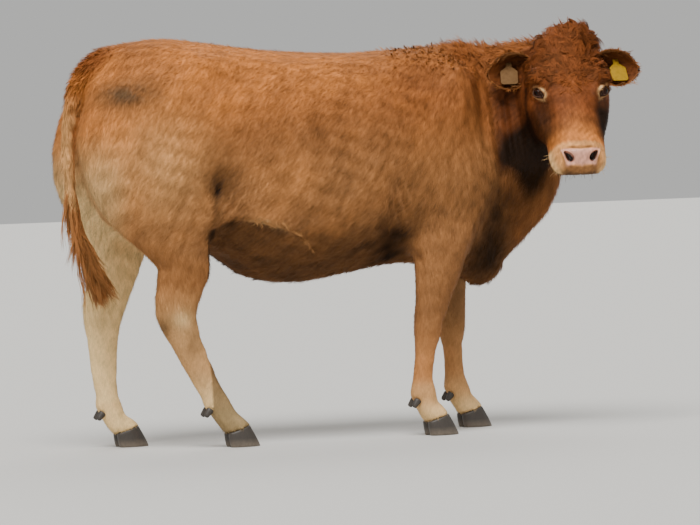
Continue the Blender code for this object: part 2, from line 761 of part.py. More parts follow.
def eye(name, side, head):
    """An eyeball set in the head so far that the lids leave its front free."""
    mesh = bmesh.new()
    mesh.from_mesh(head.data)
    surface = BVHTree.FromBMesh(mesh)
    mesh.free()
    look = (head_frame() @ Vector((0.1, 0.25, side * 0.96))).normalized()
    level = on_head(EYE_ALONG, EYE_DEPTH, side * 0.06)
    lid = surface.ray_cast(level + look * 0.3, -look)[0]
    ball = bmesh.new()
    bmesh.ops.create_uvsphere(ball, u_segments=12, v_segments=8, radius=EYE_RADIUS)
    turn = look.to_track_quat("Z", "Y").to_matrix().to_4x4()
    place = Matrix.Translation(lid - look * EYE_SUNK) @ turn
    bmesh.ops.transform(ball, matrix=place, verts=ball.verts)
    return from_bmesh(name, ball)


def ear_axes(side):
    """Columns: out along the ear, up across it, and forward out of its hollow."""
    frame = head_frame()
    out = (frame @ Vector((0.02, -0.1, side))).normalized()
    forward = frame @ Vector((0.5, 0.85, side * 0.25))
    forward = (forward - forward.dot(out) * out).normalized()
    up = out.cross(forward)
    if up.z < 0:
        up.negate()
    return Matrix((out, up, forward)).transposed()


def ear_leaf(side, along, across):
    """A point of the ear's mid surface: `along` runs 0 to 1 to the tip, `across` -1 to 1."""
    widths = smooth_rows(
        ((0, 0.4), (0.12, 0.6), (0.3, 0.9), (0.48, 1), (0.66, 0.96), (0.82, 0.76), (0.93, 0.5), (1, 0.16))
    )
    half = 0.5 * EAR_WIDTH * float(np.interp(along, widths[:, 0], widths[:, 1]))
    bend = math.radians(112 - 62 * along)
    radius = half / (math.sin(bend) if bend < math.pi / 2 else 1)
    hollow = radius * (math.cos(bend) - math.cos(bend * across))
    start = on_head(EAR_ALONG, EAR_DEPTH, side * EAR_ASIDE)
    local = Vector((along * EAR_LENGTH, radius * math.sin(bend * across) - 0.012 * along, hollow))
    return start + ear_axes(side) @ local


def ear(name, side):
    """A cupped ear of even thickness, rolled at its root and open to the front."""
    lengths, widths = 9, 9
    mesh = bmesh.new()
    grid = [
        [mesh.verts.new(ear_leaf(side, i / (lengths - 1), 2 * j / (widths - 1) - 1)) for j in range(widths)]
        for i in range(lengths)
    ]
    for low, high in zip(grid, grid[1:]):
        for a, b, c, d in zip(low, low[1:], high[1:], high):
            mesh.faces.new((a, b, c, d))
    made = from_bmesh(name, mesh)
    thick = made.modifiers.new("thick", "SOLIDIFY")
    thick.thickness = EAR_THICK
    thick.offset = 0.0
    applied(made)
    mesh = bmesh.new()
    mesh.from_mesh(made.data)
    bmesh.ops.recalc_face_normals(mesh, faces=mesh.faces)
    mesh.to_mesh(made.data)
    mesh.free()
    return made


def lathe(rows, sides, start, ahead):
    """A closed turned shape: rows of distance and radius along the way ahead."""
    turn = ahead.to_track_quat("Z", "Y").to_matrix()
    points = [
        start + turn @ Vector((radius * math.cos(a), radius * math.sin(a), distance))
        for distance, radius in rows
        for a in (2 * math.pi * i / sides for i in range(sides))
    ]
    faces = [tuple(range(sides)), tuple(range((len(rows) - 1) * sides, len(rows) * sides))]
    for ring in range(len(rows) - 1):
        for i in range(sides):
            j, base = (i + 1) % sides, ring * sides
            faces.append((base + i, base + j, base + sides + j, base + sides + i))
    return points, faces


def ear_tag(name, side):
    """A flag tag before the ear on a pin through it, with a round button behind."""
    axes = ear_axes(side)
    forward = axes.col[2]
    place = 0.54 if side < 0 else 0.56
    top = ear_leaf(side, place, 0.3) + forward * 0.016
    rim = ear_leaf(side, place + 0.06, -1) + forward * 0.022
    down = (rim - top).normalized()
    wide = (axes.col[0] - axes.col[0].dot(down) * down).normalized()
    thick = wide.cross(down).normalized()
    if thick.dot(forward) < 0:
        thick.negate()
    half, neck = TAG_WIDTH / 2, 0.011
    outline = [(neck, -0.008), (neck, 0.012), (half - 0.004, 0.026), (half, 0.032)]
    for step in range(4):
        angle = math.radians(30 * step)
        outline.append((half - 0.01 + 0.01 * math.cos(angle), TAG_LENGTH - 0.02 + 0.01 * math.sin(angle)))
    outline += [(-x, y) for x, y in reversed(outline)]
    count = len(outline)
    points = [
        top + wide * x + down * y + thick * level
        for level in (-TAG_THICK / 2, TAG_THICK / 2)
        for x, y in outline
    ]
    faces = [tuple(range(count)), tuple(range(count, 2 * count))]
    faces += [(i, (i + 1) % count, (i + 1) % count + count, i + count) for i in range(count)]
    plate = mesh_object(name, points, faces)
    rows = ((-0.0005, 0.0032), (0.0215, 0.0032), (0.0216, 0.0115), (0.0246, 0.0115))
    pin = mesh_object("pin", *lathe(rows, 10, top, -thick))
    cut(plate, pin, "UNION")
    bpy.data.objects.remove(pin)
    return plate


def centre_on_floor(things):
    """Moves everything so that the middle of its box stands over the origin."""
    corners = np.array([thing.matrix_world @ v.co for thing in things for v in thing.data.vertices])
    low, high = corners.min(0), corners.max(0)
    shift = Vector((-(low[0] + high[0]) / 2, -(low[1] + high[1]) / 2, 0))
    for thing in things:
        thing.data.transform(Matrix.Translation(shift))
    return shift


def main():
    clear_scene()
    hide = finish("hide", COAT_CHESTNUT, 0.85)
    horn = finish("horn", HORN_GREY, 0.5)
    eyeball = finish("eye", EYE_DARK, 0.1)
    plastic = finish("tag", TAG_YELLOW, 0.4)
    body = melted_body()
    points = soften(body)
    thinned(body, points)

    flesh = part_tail(body) + part_legs(body)
    flesh += [part_head(body), part_neck(body), body]
    body.name = "trunk"
    head = flesh[-3]
    for thing in flesh:
        largest_part(thing)

    hard = []
    for name, joints, _ in legs():
        foot = bpy.data.objects[name + "_foot"]
        trim_foot(foot, joints)
        for side, which in ((-1, "right"), (1, "left")):
            hard.append(claw(f"{name}_claw_{which}", joints, side))
            spur = dewclaw(f"{name}_dewclaw_{which}", joints, side)
            cut_clear(foot, spur)
            hard.append(spur)
    for thing in hard:
        thing.data.materials.append(horn)
    for side, which in ((-1, "right"), (1, "left")):
        ball = eye("eye_" + which, side, head)
        cut_clear(head, ball)
        ball.data.materials.append(eyeball)
        leaf = ear("ear_" + which, side)
        cut_clear(leaf, head)
        tag = ear_tag("ear_tag_" + which, side)
        cut_clear(leaf, tag)
        tag.data.materials.append(plastic)
        flesh.append(leaf)
        hard += [ball, tag]
    for thing in flesh:
        thing.data.materials.clear()
        thing.data.materials.append(hide)
    return centre_on_floor(flesh + hard)


main()
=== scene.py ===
"""A standing beef cow looking back over its right side.

One skin lies under a coat of modelled tufts; the eyes, claws and ear tags are pieces of their own.
Metres; +X is the way the trunk faces, +Y the animal's left, +Z up.
"""

import math

import bmesh
import bpy
import numpy as np
from mathutils import Matrix, Vector
from mathutils.bvhtree import BVHTree


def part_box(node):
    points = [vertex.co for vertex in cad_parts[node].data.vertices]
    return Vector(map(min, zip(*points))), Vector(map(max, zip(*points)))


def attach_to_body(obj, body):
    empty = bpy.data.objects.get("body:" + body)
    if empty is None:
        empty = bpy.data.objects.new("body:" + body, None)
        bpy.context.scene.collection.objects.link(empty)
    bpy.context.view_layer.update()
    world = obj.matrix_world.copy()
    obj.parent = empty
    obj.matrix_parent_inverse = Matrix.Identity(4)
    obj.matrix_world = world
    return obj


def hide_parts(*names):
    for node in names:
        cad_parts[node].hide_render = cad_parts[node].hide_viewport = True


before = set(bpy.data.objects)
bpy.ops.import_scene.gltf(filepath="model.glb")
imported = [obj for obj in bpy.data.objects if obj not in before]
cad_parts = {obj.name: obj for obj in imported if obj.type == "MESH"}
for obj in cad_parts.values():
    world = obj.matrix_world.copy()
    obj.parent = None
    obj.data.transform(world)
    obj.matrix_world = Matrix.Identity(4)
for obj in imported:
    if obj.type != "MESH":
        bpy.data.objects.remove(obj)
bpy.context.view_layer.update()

# Skin

VOXEL = 0.0095  # grain of the skin on the body
CLAW_GRAIN = 0.0031
SWELL = 0.0016  # each solid grows by this to meet its neighbours
SPINE_Y = 0.085  # the middle of the animal, across
SIDES = (-1, 1)  # the animal's right, and its left
FLESH = {
    "trunk": ["trunk"],
    "neck": ["neck"],
    "head": ["head"],
    "tail": ["tail"],
    "switch": ["tail_switch"],
    "thigh": ["hind_right_thigh", "hind_left_thigh"],
    "shank": ["hind_right_shank", "hind_left_shank"],
    "arm": ["fore_right_arm", "fore_left_arm"],
    "shin": ["fore_right_shin", "fore_left_shin"],
    "foot": ["hind_right_foot", "hind_left_foot", "fore_right_foot", "fore_left_foot"],
}
REGIONS = list(FLESH) + ["ear"]
# How far the skin lies under the tips of the coat, and the length of its tufts.
COAT_DEPTH = {
    "trunk": 0.0075, "neck": 0.0095, "head": 0.0028, "tail": 0.006, "switch": 0.006,
    "thigh": 0.0055, "shank": 0.0035, "arm": 0.005, "shin": 0.0032, "foot": 0.0018, "ear": 0.003,
}
COAT_LENGTH = {
    "trunk": 0.026, "neck": 0.03, "head": 0.0115, "tail": 0.024, "switch": 0.03,
    "thigh": 0.022, "shank": 0.0115, "arm": 0.017, "shin": 0.01, "foot": 0.0095, "ear": 0.012,
}

# The colour of the coat, and each further colour, laid on by the mask of that name in this order; the dark
# and inner colours also serve as painted shade.
CHESTNUT = "#9C6034"
COLOUR_LAYERS = {
    "ginger": "#D07F3C", "red": "#7A3F1E", "pale": "#FFD898", "dark": "#201106",
    "smudge": "#5E452D", "bare": "#D8997F", "inner": "#190C07",
}

# Head

HEAD_YAW, HEAD_PITCH = math.radians(-99), math.radians(57)
EYES_ON_HEAD = Vector((0.2587, -0.0359, -0.001))  # the middle between the eyes, from the poll
EYE_LOOK = (0.29, 0.59, 0.755)
EYE_CORNER = (0.6, -0.1, -0.8)  # the way of the corner by the nose
LID_ACROSS, LID_UP, LID_DOWN = 0.0208, 0.0158, 0.0128  # half opening between the lids
LID_THICK = 0.0024
LID_SLANT = 0.18  # the opening narrows towards the nose by this share
LIP_EDGE = 0.006  # the lips meet this far above the line of the mouth
WHORL = (0.235, 0.0)  # along the face and aside: the hair parts from here
EAR_LENGTH, EAR_WIDTH = 0.178, 0.131
EAR_ROOT = (0.114, -0.078, 0.1)
# The bones and muscles of the face: the middle of each on the head, its reach, and the push there.
FACE_FORMS = (
    ((0.455, -0.04, 0.085), (0.05, 0.035, 0.035), (0, 0, -0.006)),  # bridge, narrower than the lips
    ((0.56, -0.1, 0.095), (0.022, 0.02, 0.03), (0, 0, 0.004)),  # lips
    ((0.335, -0.085, 0.128), (0.07, 0.012, 0.03), (0, 0, 0.004)),  # crest under the eye
    ((0.36, -0.05, 0.1), (0.05, 0.02, 0.03), (0, 0, -0.004)),  # hollow before it
    ((0.2, -0.15, 0.14), (0.07, 0.06, 0.04), (0, 0, 0.003)),  # chewing muscle of the cheek
    ((0.4, -0.1, 0.105), (0.05, 0.02, 0.03), (0, 0, -0.002)),  # hollow in front of that
    ((0.225, -0.006, 0.105), (0.03, 0.02, 0.022), (0, 0.004, 0)),  # brow ridge
)


def eye_middle(side):
    low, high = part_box("eye_left" if side > 0 else "eye_right")
    return (low + high) / 2


def head_axes():
    """Columns: along the face to the muzzle, up out of the face, and to the animal's left."""
    level = Vector((math.cos(HEAD_YAW), math.sin(HEAD_YAW), 0))
    up = Vector((0, 0, 1))
    along = level * math.cos(HEAD_PITCH) - up * math.sin(HEAD_PITCH)
    above = level * math.sin(HEAD_PITCH) + up * math.cos(HEAD_PITCH)
    return Matrix((along, above, above.cross(along))).transposed()


HEAD = head_axes()
POLL = (eye_middle(-1) + eye_middle(1)) / 2 - HEAD @ EYES_ON_HEAD


def on_head(along, above, left):
    return POLL + HEAD @ Vector((along, above, left))


def head_local(points):
    """Each point's place on the head: u along the face, v out of it, w to the animal's left."""
    return (points - np.array(POLL)) @ np.array(HEAD)


# Small tools on arrays


def near(points, centre, radii):
    """1 at the centre, falling off softly over the radii."""
    return np.exp(-(((points - np.array(centre)) / np.array(radii)) ** 2).sum(1))


def bell(values, width):
    """1 at zero, falling off softly over the width."""
    return np.exp(-((values / width) ** 2))


def between(values, low, high):
    return (values > low) & (values < high)


def ramp(values, start, end):
    """0 at start, 1 at end, smooth between."""
    t = np.clip((values - start) / (end - start), 0, 1)
    return t * t * (3 - 2 * t)


def faces_in(corners, inside):
    """Whether a face with those corners looks towards the point inside."""
    return np.cross(corners[1] - corners[0], corners[2] - corners[0]) @ (corners.mean(0) - inside) < 0


def unit(rows):
    return rows / np.maximum(np.linalg.norm(rows, axis=1, keepdims=True), 1e-12)


def flat_on(vectors, normals):
    """The vectors laid onto the surface with those normals."""
    return unit(vectors - (vectors * normals).sum(1)[:, None] * normals)


def spread(values, edges, count, rounds, share=0.5):
    """Evens values out along the edges; works on one number or a row for each point."""
    out = values.astype(float).copy()
    rows = out.reshape(count, -1)
    ends = np.concatenate((edges[:, 0], edges[:, 1]))
    starts = np.concatenate((edges[:, 1], edges[:, 0]))
    valence = np.maximum(np.bincount(ends, minlength=count), 1)
    for _ in range(rounds):
        for column in range(rows.shape[1]):
            mean = np.bincount(ends, weights=rows[starts, column], minlength=count) / valence
            rows[:, column] += np.broadcast_to(share, count) * (mean - rows[:, column])
    return rows.reshape(values.shape)


def relaxed(points, edges, rounds):
    """Smooths without shrinking: each step in is followed by a step out."""
    for _ in range(rounds):
        points = spread(points, edges, len(points), 1, 0.5)
        points = spread(points, edges, len(points), 1, -0.52)
    return points


def drift(points, scale, seed):
    """Smooth noise from -1 to 1: waves of about `scale` metres crossing at odd angles."""
    rng = np.random.default_rng(seed)
    total = np.zeros(len(points))
    for _ in range(7):
        way = rng.normal(size=3)
        way *= rng.uniform(0.7, 1.5) * 2 * math.pi / (scale * np.linalg.norm(way))
        total += np.sin(points @ way + rng.uniform(0, 2 * math.pi))
    return np.clip(total / 3.2, -1, 1)


def read(items, name, kind=np.float32, width=1):
    """One property of all items of a mesh, as an array with a row for each."""
    values = np.empty(len(items) * width, kind)
    items.foreach_get(name, values)
    return values.reshape(-1, width) if width > 1 else values


def read_mesh(mesh):
    """Points and edges of a mesh as arrays."""
    return read(mesh.vertices, "co", width=3).astype(float), read(mesh.edges, "vertices", np.int32, 2)


def read_normals(mesh):
    return read(mesh.vertices, "normal", width=3).astype(float)


def write_points(mesh, points):
    mesh.vertices.foreach_set("co", points.astype(np.float32).ravel())
    mesh.update()


def new_mesh(name, points, corners, sizes):
    """A mesh from arrays: the corner list of all faces and each face's corner count."""
    mesh = bpy.data.meshes.new(name)
    mesh.vertices.add(len(points))
    mesh.vertices.foreach_set("co", np.asarray(points, np.float32).ravel())
    mesh.loops.add(len(corners))
    mesh.loops.foreach_set("vertex_index", np.asarray(corners, np.int32))
    mesh.polygons.add(len(sizes))
    starts = np.concatenate(([0], np.cumsum(sizes)[:-1])).astype(np.int32)
    mesh.polygons.foreach_set("loop_start", starts)
    mesh.update(calc_edges=True)
    mesh.validate()
    mesh.shade_smooth()
    return mesh


def settled(made, mesh):
    """Writes an edit mesh into a mesh, and frees it."""
    made.to_mesh(mesh)
    made.free()
    return mesh


def show(name, data):
    thing = bpy.data.objects.new(name, data)
    bpy.context.scene.collection.objects.link(thing)
    return thing


def give(mesh, name, values):
    """Writes one number for each point as a named attribute."""
    mesh.attributes.new(name, "FLOAT", "POINT").data.foreach_set("value", values.astype(np.float32))


# The skin's own shape


def clean_copy(node, swell):
    """A node's mesh with its points joined, grown a little."""
    mesh = bmesh.new()
    mesh.from_mesh(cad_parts[node].data)
    bmesh.ops.remove_doubles(mesh, verts=mesh.verts, dist=1e-5)
    bmesh.ops.recalc_face_normals(mesh, faces=mesh.faces)
    mesh.normal_update()
    moves = [(vert, vert.normal * swell) for vert in mesh.verts]
    for vert, move in moves:
        vert.co += move
    return mesh


def joined_flesh():
    """All solids of flesh in one object, and a tree that tells which region each face is from."""
    whole, plain, owners = bmesh.new(), bmesh.new(), []
    for region, nodes in FLESH.items():
        for node in nodes:
            for target, swell in ((whole, SWELL), (plain, 0)):
                holder = settled(clean_copy(node, swell), bpy.data.meshes.new("part"))
                target.from_mesh(holder)
            owners += [REGIONS.index(region)] * len(holder.polygons)
            bpy.data.meshes.remove(holder)
    tree = BVHTree.FromBMesh(plain)
    plain.free()
    return show("flesh", settled(whole, bpy.data.meshes.new("flesh"))), tree, owners


def with_modifiers(thing):
    return bpy.data.meshes.new_from_object(thing.evaluated_get(bpy.context.evaluated_depsgraph_get()))


def melted(thing, grain):
    """The outer surface of everything in the object, as one even mesh."""
    melt = thing.modifiers.new("melt", "REMESH")
    melt.mode = "VOXEL"
    melt.voxel_size = grain
    mesh = with_modifiers(thing)
    old = thing.data
    bpy.data.objects.remove(thing)
    bpy.data.meshes.remove(old)
    return mesh


def outermost(mesh):
    """Drops all but the largest connected surface."""
    points, edges = read_mesh(mesh)
    label = np.arange(len(points))
    while True:
        low = np.minimum(label[edges[:, 0]], label[edges[:, 1]])
        after = label.copy()
        np.minimum.at(after, edges[:, 0], low)
        np.minimum.at(after, edges[:, 1], low)
        after = after[after]
        if np.array_equal(after, label):
            break
        label = after
    main_label = np.bincount(label).argmax()
    if (label == main_label).all():
        return
    made = bmesh.new()
    made.from_mesh(mesh)
    made.verts.ensure_lookup_table()
    loose = [made.verts[i] for i in np.flatnonzero(label != main_label)]
    bmesh.ops.delete(made, geom=loose, context="VERTS")
    settled(made, mesh)


def finer(mesh, chosen):
    """Splits the chosen faces in four. `chosen` takes the faces' middles and says which."""
    made = bmesh.new()
    made.from_mesh(mesh)
    middles = np.array([face.calc_center_median() for face in made.faces])
    picked = chosen(middles)
    edges = {edge for face, take in zip(made.faces, picked) if take for edge in face.edges}
    bmesh.ops.subdivide_edges(made, edges=list(edges), cuts=1, use_grid_fill=True)
    settled(made, mesh)


def region_of(points, tree, owners):
    """For each point, a row of shares: which region of the body it belongs to."""
    shares = np.zeros((len(points), len(REGIONS)))
    for index, point in enumerate(points):
        shares[index, owners[tree.find_nearest(Vector(point))[2]]] = 1
    return shares


def part(shares, *names):
    return sum(shares[:, REGIONS.index(name)] for name in names)


def mixed(shares, table):
    return shares @ np.array([table[region] for region in REGIONS])


def eye_axes(side):
    """The eye's place and axes: out of it, towards the nose corner, and up to the brow."""
    look = (HEAD @ Vector((*EYE_LOOK[:2], side * EYE_LOOK[2]))).normalized()
    corner = HEAD @ Vector((*EYE_CORNER[:2], side * EYE_CORNER[2]))
    corner = (corner - corner.dot(look) * look).normalized()
    brow = corner.cross(look)
    if brow.dot(HEAD.col[1]) < 0:
        brow.negate()
    return [np.array(row) for row in (eye_middle(side), look, corner, brow)]


def eye_radius():
    low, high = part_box("eye_right")
    return 0.54 * max(high - low)


def set_lids(points):
    """Draws the skin over each eyeball as lids, with an almond opening between them."""
    out = points.copy()
    radius = eye_radius()
    for side in SIDES:
        middle, look, corner, brow = eye_axes(side)
        away = out - middle
        across, up, height = away @ corner, away @ brow, away @ look
        close = (np.hypot(across, up) < 0.05) & (height > -0.03)
        a, b, h = across[close], up[close], height[close]
        reach = np.where(b > 0, LID_UP, LID_DOWN) * (1 - LID_SLANT * np.clip(a / LID_ACROSS, -1, 1))
        opening = np.sqrt((a / LID_ACROSS) ** 2 + np.abs(b / reach) ** 1.7)
        ball = np.sqrt(np.maximum((radius + LID_THICK) ** 2 - a ** 2 - b ** 2, 0))
        # the lids lie on the ball, and a crease sets them off from brow and cheek
        least = h - 0.003 - 0.03 * ramp(opening, 2.0, 1.2)
        swell = 0.5 * (least + ball + np.sqrt((least - ball) ** 2 + 0.003 ** 2))
        outer = ramp(opening, 2.7, 1.6)
        lidded = h + (swell - h) * outer
        lidded -= 0.0022 * bell(opening - 1.95, 0.22) * (b > -0.002)
        lidded -= 0.0014 * bell(opening - 1.75, 0.2) * (b <= -0.002)
        sunk = radius * 0.45
        inside = ramp(opening, 1.02, 0.9)
        final = lidded + (np.minimum(sunk, ball - 0.007) - lidded) * inside
        out[close] += (final - h)[:, None] * look
        # tear groove from the inner corner
        groove = bell(up + 0.1 * across + 0.002, 0.0028) * ramp(across, 0.016, 0.021)
        groove *= ramp(across, 0.05, 0.028) * (height > -0.03)
        out -= (0.0022 * groove)[:, None] * look
    return out


def mouth_line(u, v):
    """How far a point is above the line of the mouth, which rises to its corner."""
    return v + 0.124 - 0.1 * (0.57 - u)


def nostril_place(u, v, w):
    """A point's place by a nostril: across its slanting length, and how far out, 1 at its edge."""
    down = 0.905 * (u - 0.529) - 0.426 * (v + 0.0395)
    long = 0.83 * down - 0.56 * (w - 0.046)
    wide = 0.56 * down + 0.83 * (w - 0.046)
    # wider at the lower, inner end, and curling outward at the top
    wide = wide - 6.0 * np.clip(-long, 0, 0.03) ** 2
    return wide, np.hypot(long / 0.0245, wide / (0.0118 + 0.17 * np.clip(long, -0.03, 0.03)))


def sculpt_face(points):
    """Presses nostrils, lips, folds and the bones of the face into the skin."""
    out = points.copy()
    axes = np.array(HEAD)
    for side in SIDES:
        mirror = np.array((1, 1, side))
        local = head_local(out)
        u, v, w = local[:, 0], local[:, 1], side * local[:, 2]
        push = np.zeros((len(out), 3))
        # nostril: a slanting comma, wide and deep below, thin where it curls up and out
        wide, nostril = nostril_place(u, v, w)
        front = ramp(u, 0.48, 0.5)
        hole = ramp(nostril, 1.08, 0.55) * front
        push += hole[:, None] * mirror * (-0.015, -0.011, -0.005)
        wing = bell(nostril - 1.45, 0.3) * front * ramp(wide, -0.004, 0.006)
        push += wing[:, None] * mirror * (0.002, 0.0015, 0.0032)
        # the pad between them stands up a little, with a fold over it
        pad = ramp(np.abs(w), 0.05, 0.03) * ramp(u, 0.505, 0.515) * ramp(u, 0.57, 0.55) * 0.5
        push += pad[:, None] * (0.0015, 0.0018, 0)
        shelf = bell(u - 0.503, 0.0045) * ramp(w, 0.075, 0.045) * (v > -0.06)
        push[:, 1] -= 0.0022 * shelf
        # the muzzle is drawn in further on the right
        pinch = 0.007 if side < 0 else 0.003
        push[:, 2] -= side * pinch * near(local, mirror * (0.515, -0.06, 0.1), (0.045, 0.03, 0.035))
        lip = mouth_line(u, v)
        mouth = bell(lip, 0.0045) * ramp(u, 0.405, 0.44)
        push[:, 0] -= 0.006 * mouth * ramp(u, 0.5, 0.54)
        push[:, 2] -= side * 0.0055 * mouth * ramp(w, 0.02, 0.06)
        over = bell(lip - 0.012, 0.009) * ramp(u, 0.42, 0.46)
        push[:, 2] += side * 0.0022 * over * ramp(w, 0.03, 0.06)
        push[:, 0] += 0.002 * bell(lip + 0.012, 0.008) * ramp(u, 0.43, 0.48)
        for centre, radii, move in FACE_FORMS:
            push += near(local, mirror * centre, radii)[:, None] * (mirror * move)
        # small wrinkles over the eye and beside the nostril
        rows = np.sin((u + 0.4 * w) * 2 * math.pi / 0.011)
        push[:, 1] += 0.0006 * rows * near(local, mirror * (0.24, -0.01, 0.085), (0.025, 0.03, 0.02))
        fine = np.sin((u * 0.9 + v * 0.5) * 2 * math.pi / 0.009)
        push[:, 2] += side * 0.0005 * fine * near(local, mirror * (0.485, -0.075, 0.09), (0.03, 0.03, 0.03))
        out += push @ axes.T
    local = head_local(out)
    middle = bell(local[:, 2], 0.0028) * ramp(local[:, 0], 0.545, 0.56)
    out -= (0.0016 * middle)[:, None] * axes[:, 0]
    return out


def below_fold(points):
    """How far a point hangs below the edge of the flank fold; far off where there is none."""
    x, z = points[:, 0], points[:, 2]
    at = (-0.58, -0.48, -0.396, -0.33, -0.263, -0.213)
    edge = np.interp(x, at, (0.775, 0.812, 0.797, 0.775, 0.742, 0.687))
    return np.where(between(x, at[0], at[-1]), edge - z, 9.0)


def fold_body(points, normals):
    """Skin folds of the bent neck, behind the elbow and in the flank, and the hollow above it."""
    x, y, z = points.T
    aside = np.abs(y - SPINE_Y)
    under = below_fold(points)
    flank = ramp(x, -0.58, -0.5) * ramp(x, -0.22, -0.3) * ramp(aside, 0.1, 0.16)
    flap = 0.005 * bell(under + 0.012, 0.014) - 0.013 * ramp(under, -0.002, 0.008) * ramp(under, 0.17, 0.05)
    hollow = -0.014 * near(points, (-0.55, SPINE_Y, 0.925), (0.06, 0.6, 0.06)) * ramp(aside, 0.1, 0.16)
    wave = np.sin(2 * math.pi * (x - 0.35 * y + 0.1 * (z - 1.1)) / 0.047)
    neck = near(points, (0.54, -0.11, 1.12), (0.085, 0.1, 0.19))
    depth = 0.006 * neck * (wave - 0.3)
    for centre, radii, lean, step, tall in (
        ((0.12, -0.2, 0.84), (0.05, 0.1, 0.1), 0.35, 0.034, 0.004),
        ((0.13, 0.4, 0.84), (0.05, 0.1, 0.1), 0.35, 0.034, 0.004),
        ((-0.5, -0.19, 0.86), (0.05, 0.1, 0.08), -0.7, 0.04, 0.004),
        ((0.4, 0.02, 0.66), (0.09, 0.12, 0.07), 0.1, 0.05, 0.005),
    ):
        ridges = np.sin(2 * math.pi * (x + lean * z) / step)
        depth += tall * ridges * near(points, centre, radii)
    depth += flap * flank + hollow
    return points + depth[:, None] * normals


def tail_middles(points, chosen, rows):
    """The middle (x, y) of the hanging tail, or a part of it, at the height of each row."""
    heights = points[:, 2]
    levels = np.linspace(heights[chosen].min(), heights[chosen].max(), 12)
    middles = np.array([points[chosen & (np.abs(heights - level) < 0.03)].mean(0) for level in levels])
    return np.stack([np.interp(rows[:, 2], levels, middles[:, i]) for i in range(2)], 1)


def slim_switch(points, shares):
    """Under the long hair of the switch the tail itself is a thin rope."""
    share = part(shares, "switch")
    centre = tail_middles(points, share > 0.5, points)
    keep = 1 - 0.62 * share
    out = points.copy()
    out[:, :2] = centre + (points[:, :2] - centre) * np.where(share > 0.02, keep, 1)[:, None]
    return np.where((share > 0.02)[:, None], out, points)


def body_skin():
    """The skin of everything but the ears: its mesh and each point's shares of the regions."""
    thing, tree, owners = joined_flesh()
    mesh = melted(thing, VOXEL)
    outermost(mesh)

    def on_the_head(at):
        u, v, w = head_local(at).T
        return between(u, 0, 0.62) & between(v, -0.26, 0.1) & (np.abs(w) < 0.2)

    def by_the_flank(at):
        x, y, z = at.T
        return between(x, -0.62, -0.19) & between(z, 0.65, 0.87) & (np.abs(y - SPINE_Y) > 0.12)

    def features(at):
        local = head_local(at)
        u, v, w = local.T
        eyes = sum(near(local, (*EYES_ON_HEAD[:2], s * 0.115), (0.05, 0.05, 0.05)) for s in SIDES)
        return (eyes > 0.35) | (between(u, 0.47, 0.62) & between(v, -0.18, 0) & (np.abs(w) < 0.12))

    finer(mesh, on_the_head)
    finer(mesh, by_the_flank)
    points, edges = read_mesh(mesh)
    write_points(mesh, relaxed(points, edges, 5))
    finer(mesh, features)
    points, edges = read_mesh(mesh)
    points = relaxed(points, edges, 5)
    write_points(mesh, points)
    shares = spread(region_of(points, tree, owners), edges, len(points), 14)
    points = slim_switch(points, shares)
    u, v, w = head_local(points).T
    headed = part(shares, "head")
    depth = mixed(shares, COAT_DEPTH) + 0.005 * headed * ramp(u, 0.2, 0.1)
    # deepest under the curls of the crown
    depth += 0.015 * headed * ramp(u, 0.11, 0.02) * (1 - 0.85 * ramp(w, 0.01, 0.06))
    depth *= 1 - 0.6 * headed * ramp(u, 0.42, 0.48)
    points = points - depth[:, None] * read_normals(mesh)
    points = relaxed(points, edges, 2)
    write_points(mesh, points)
    points = fold_body(points, read_normals(mesh))
    sculpted = set_lids(sculpt_face(points))
    on_head_only = ramp(spread(headed, edges, len(points), 2), 0.3, 0.7)[:, None]
    points = points + on_head_only * (sculpted - points)
    write_points(mesh, points)
    return mesh, shares


def ear_axes(side):
    """Columns: out along the ear, up across it, and forward out of its hollow."""
    out = (HEAD @ Vector((0.02, -0.1, side))).normalized()
    forward = HEAD @ Vector((0.5, 0.85, side * 0.25))
    forward = (forward - forward.dot(out) * out).normalized()
    up = out.cross(forward)
    if up.z < 0:
        up.negate()
    return np.array(Matrix((out, up, forward)).transposed())


def ear_start(side):
    return np.array(on_head(*EAR_ROOT[:2], side * EAR_ROOT[2]))


def ear_sheet(side, along, across):
    """Points of the ear's middle surface, for arrays of along 0..1 and across -1..1."""
    places = (0, 0.12, 0.3, 0.48, 0.66, 0.82, 0.93, 1)
    widths = (0.4, 0.6, 0.9, 1, 0.96, 0.76, 0.5, 0.16)
    fine = np.linspace(0, 1, 60)
    soft = np.interp(fine, places, widths)
    for _ in range(30):
        soft[1:-1] = 0.5 * soft[1:-1] + 0.25 * (soft[:-2] + soft[2:])
    half = 0.5 * EAR_WIDTH * np.interp(along, fine, soft)
    bend = np.radians(112 - 62 * along)
    radius = half / np.where(bend < math.pi / 2, np.sin(bend), 1)
    hollow = radius * (np.cos(bend) - np.cos(bend * across))
    local = np.stack([along * EAR_LENGTH, radius * np.sin(bend * across) - 0.012 * along, hollow], -1)
    return ear_start(side) + local @ ear_axes(side).T


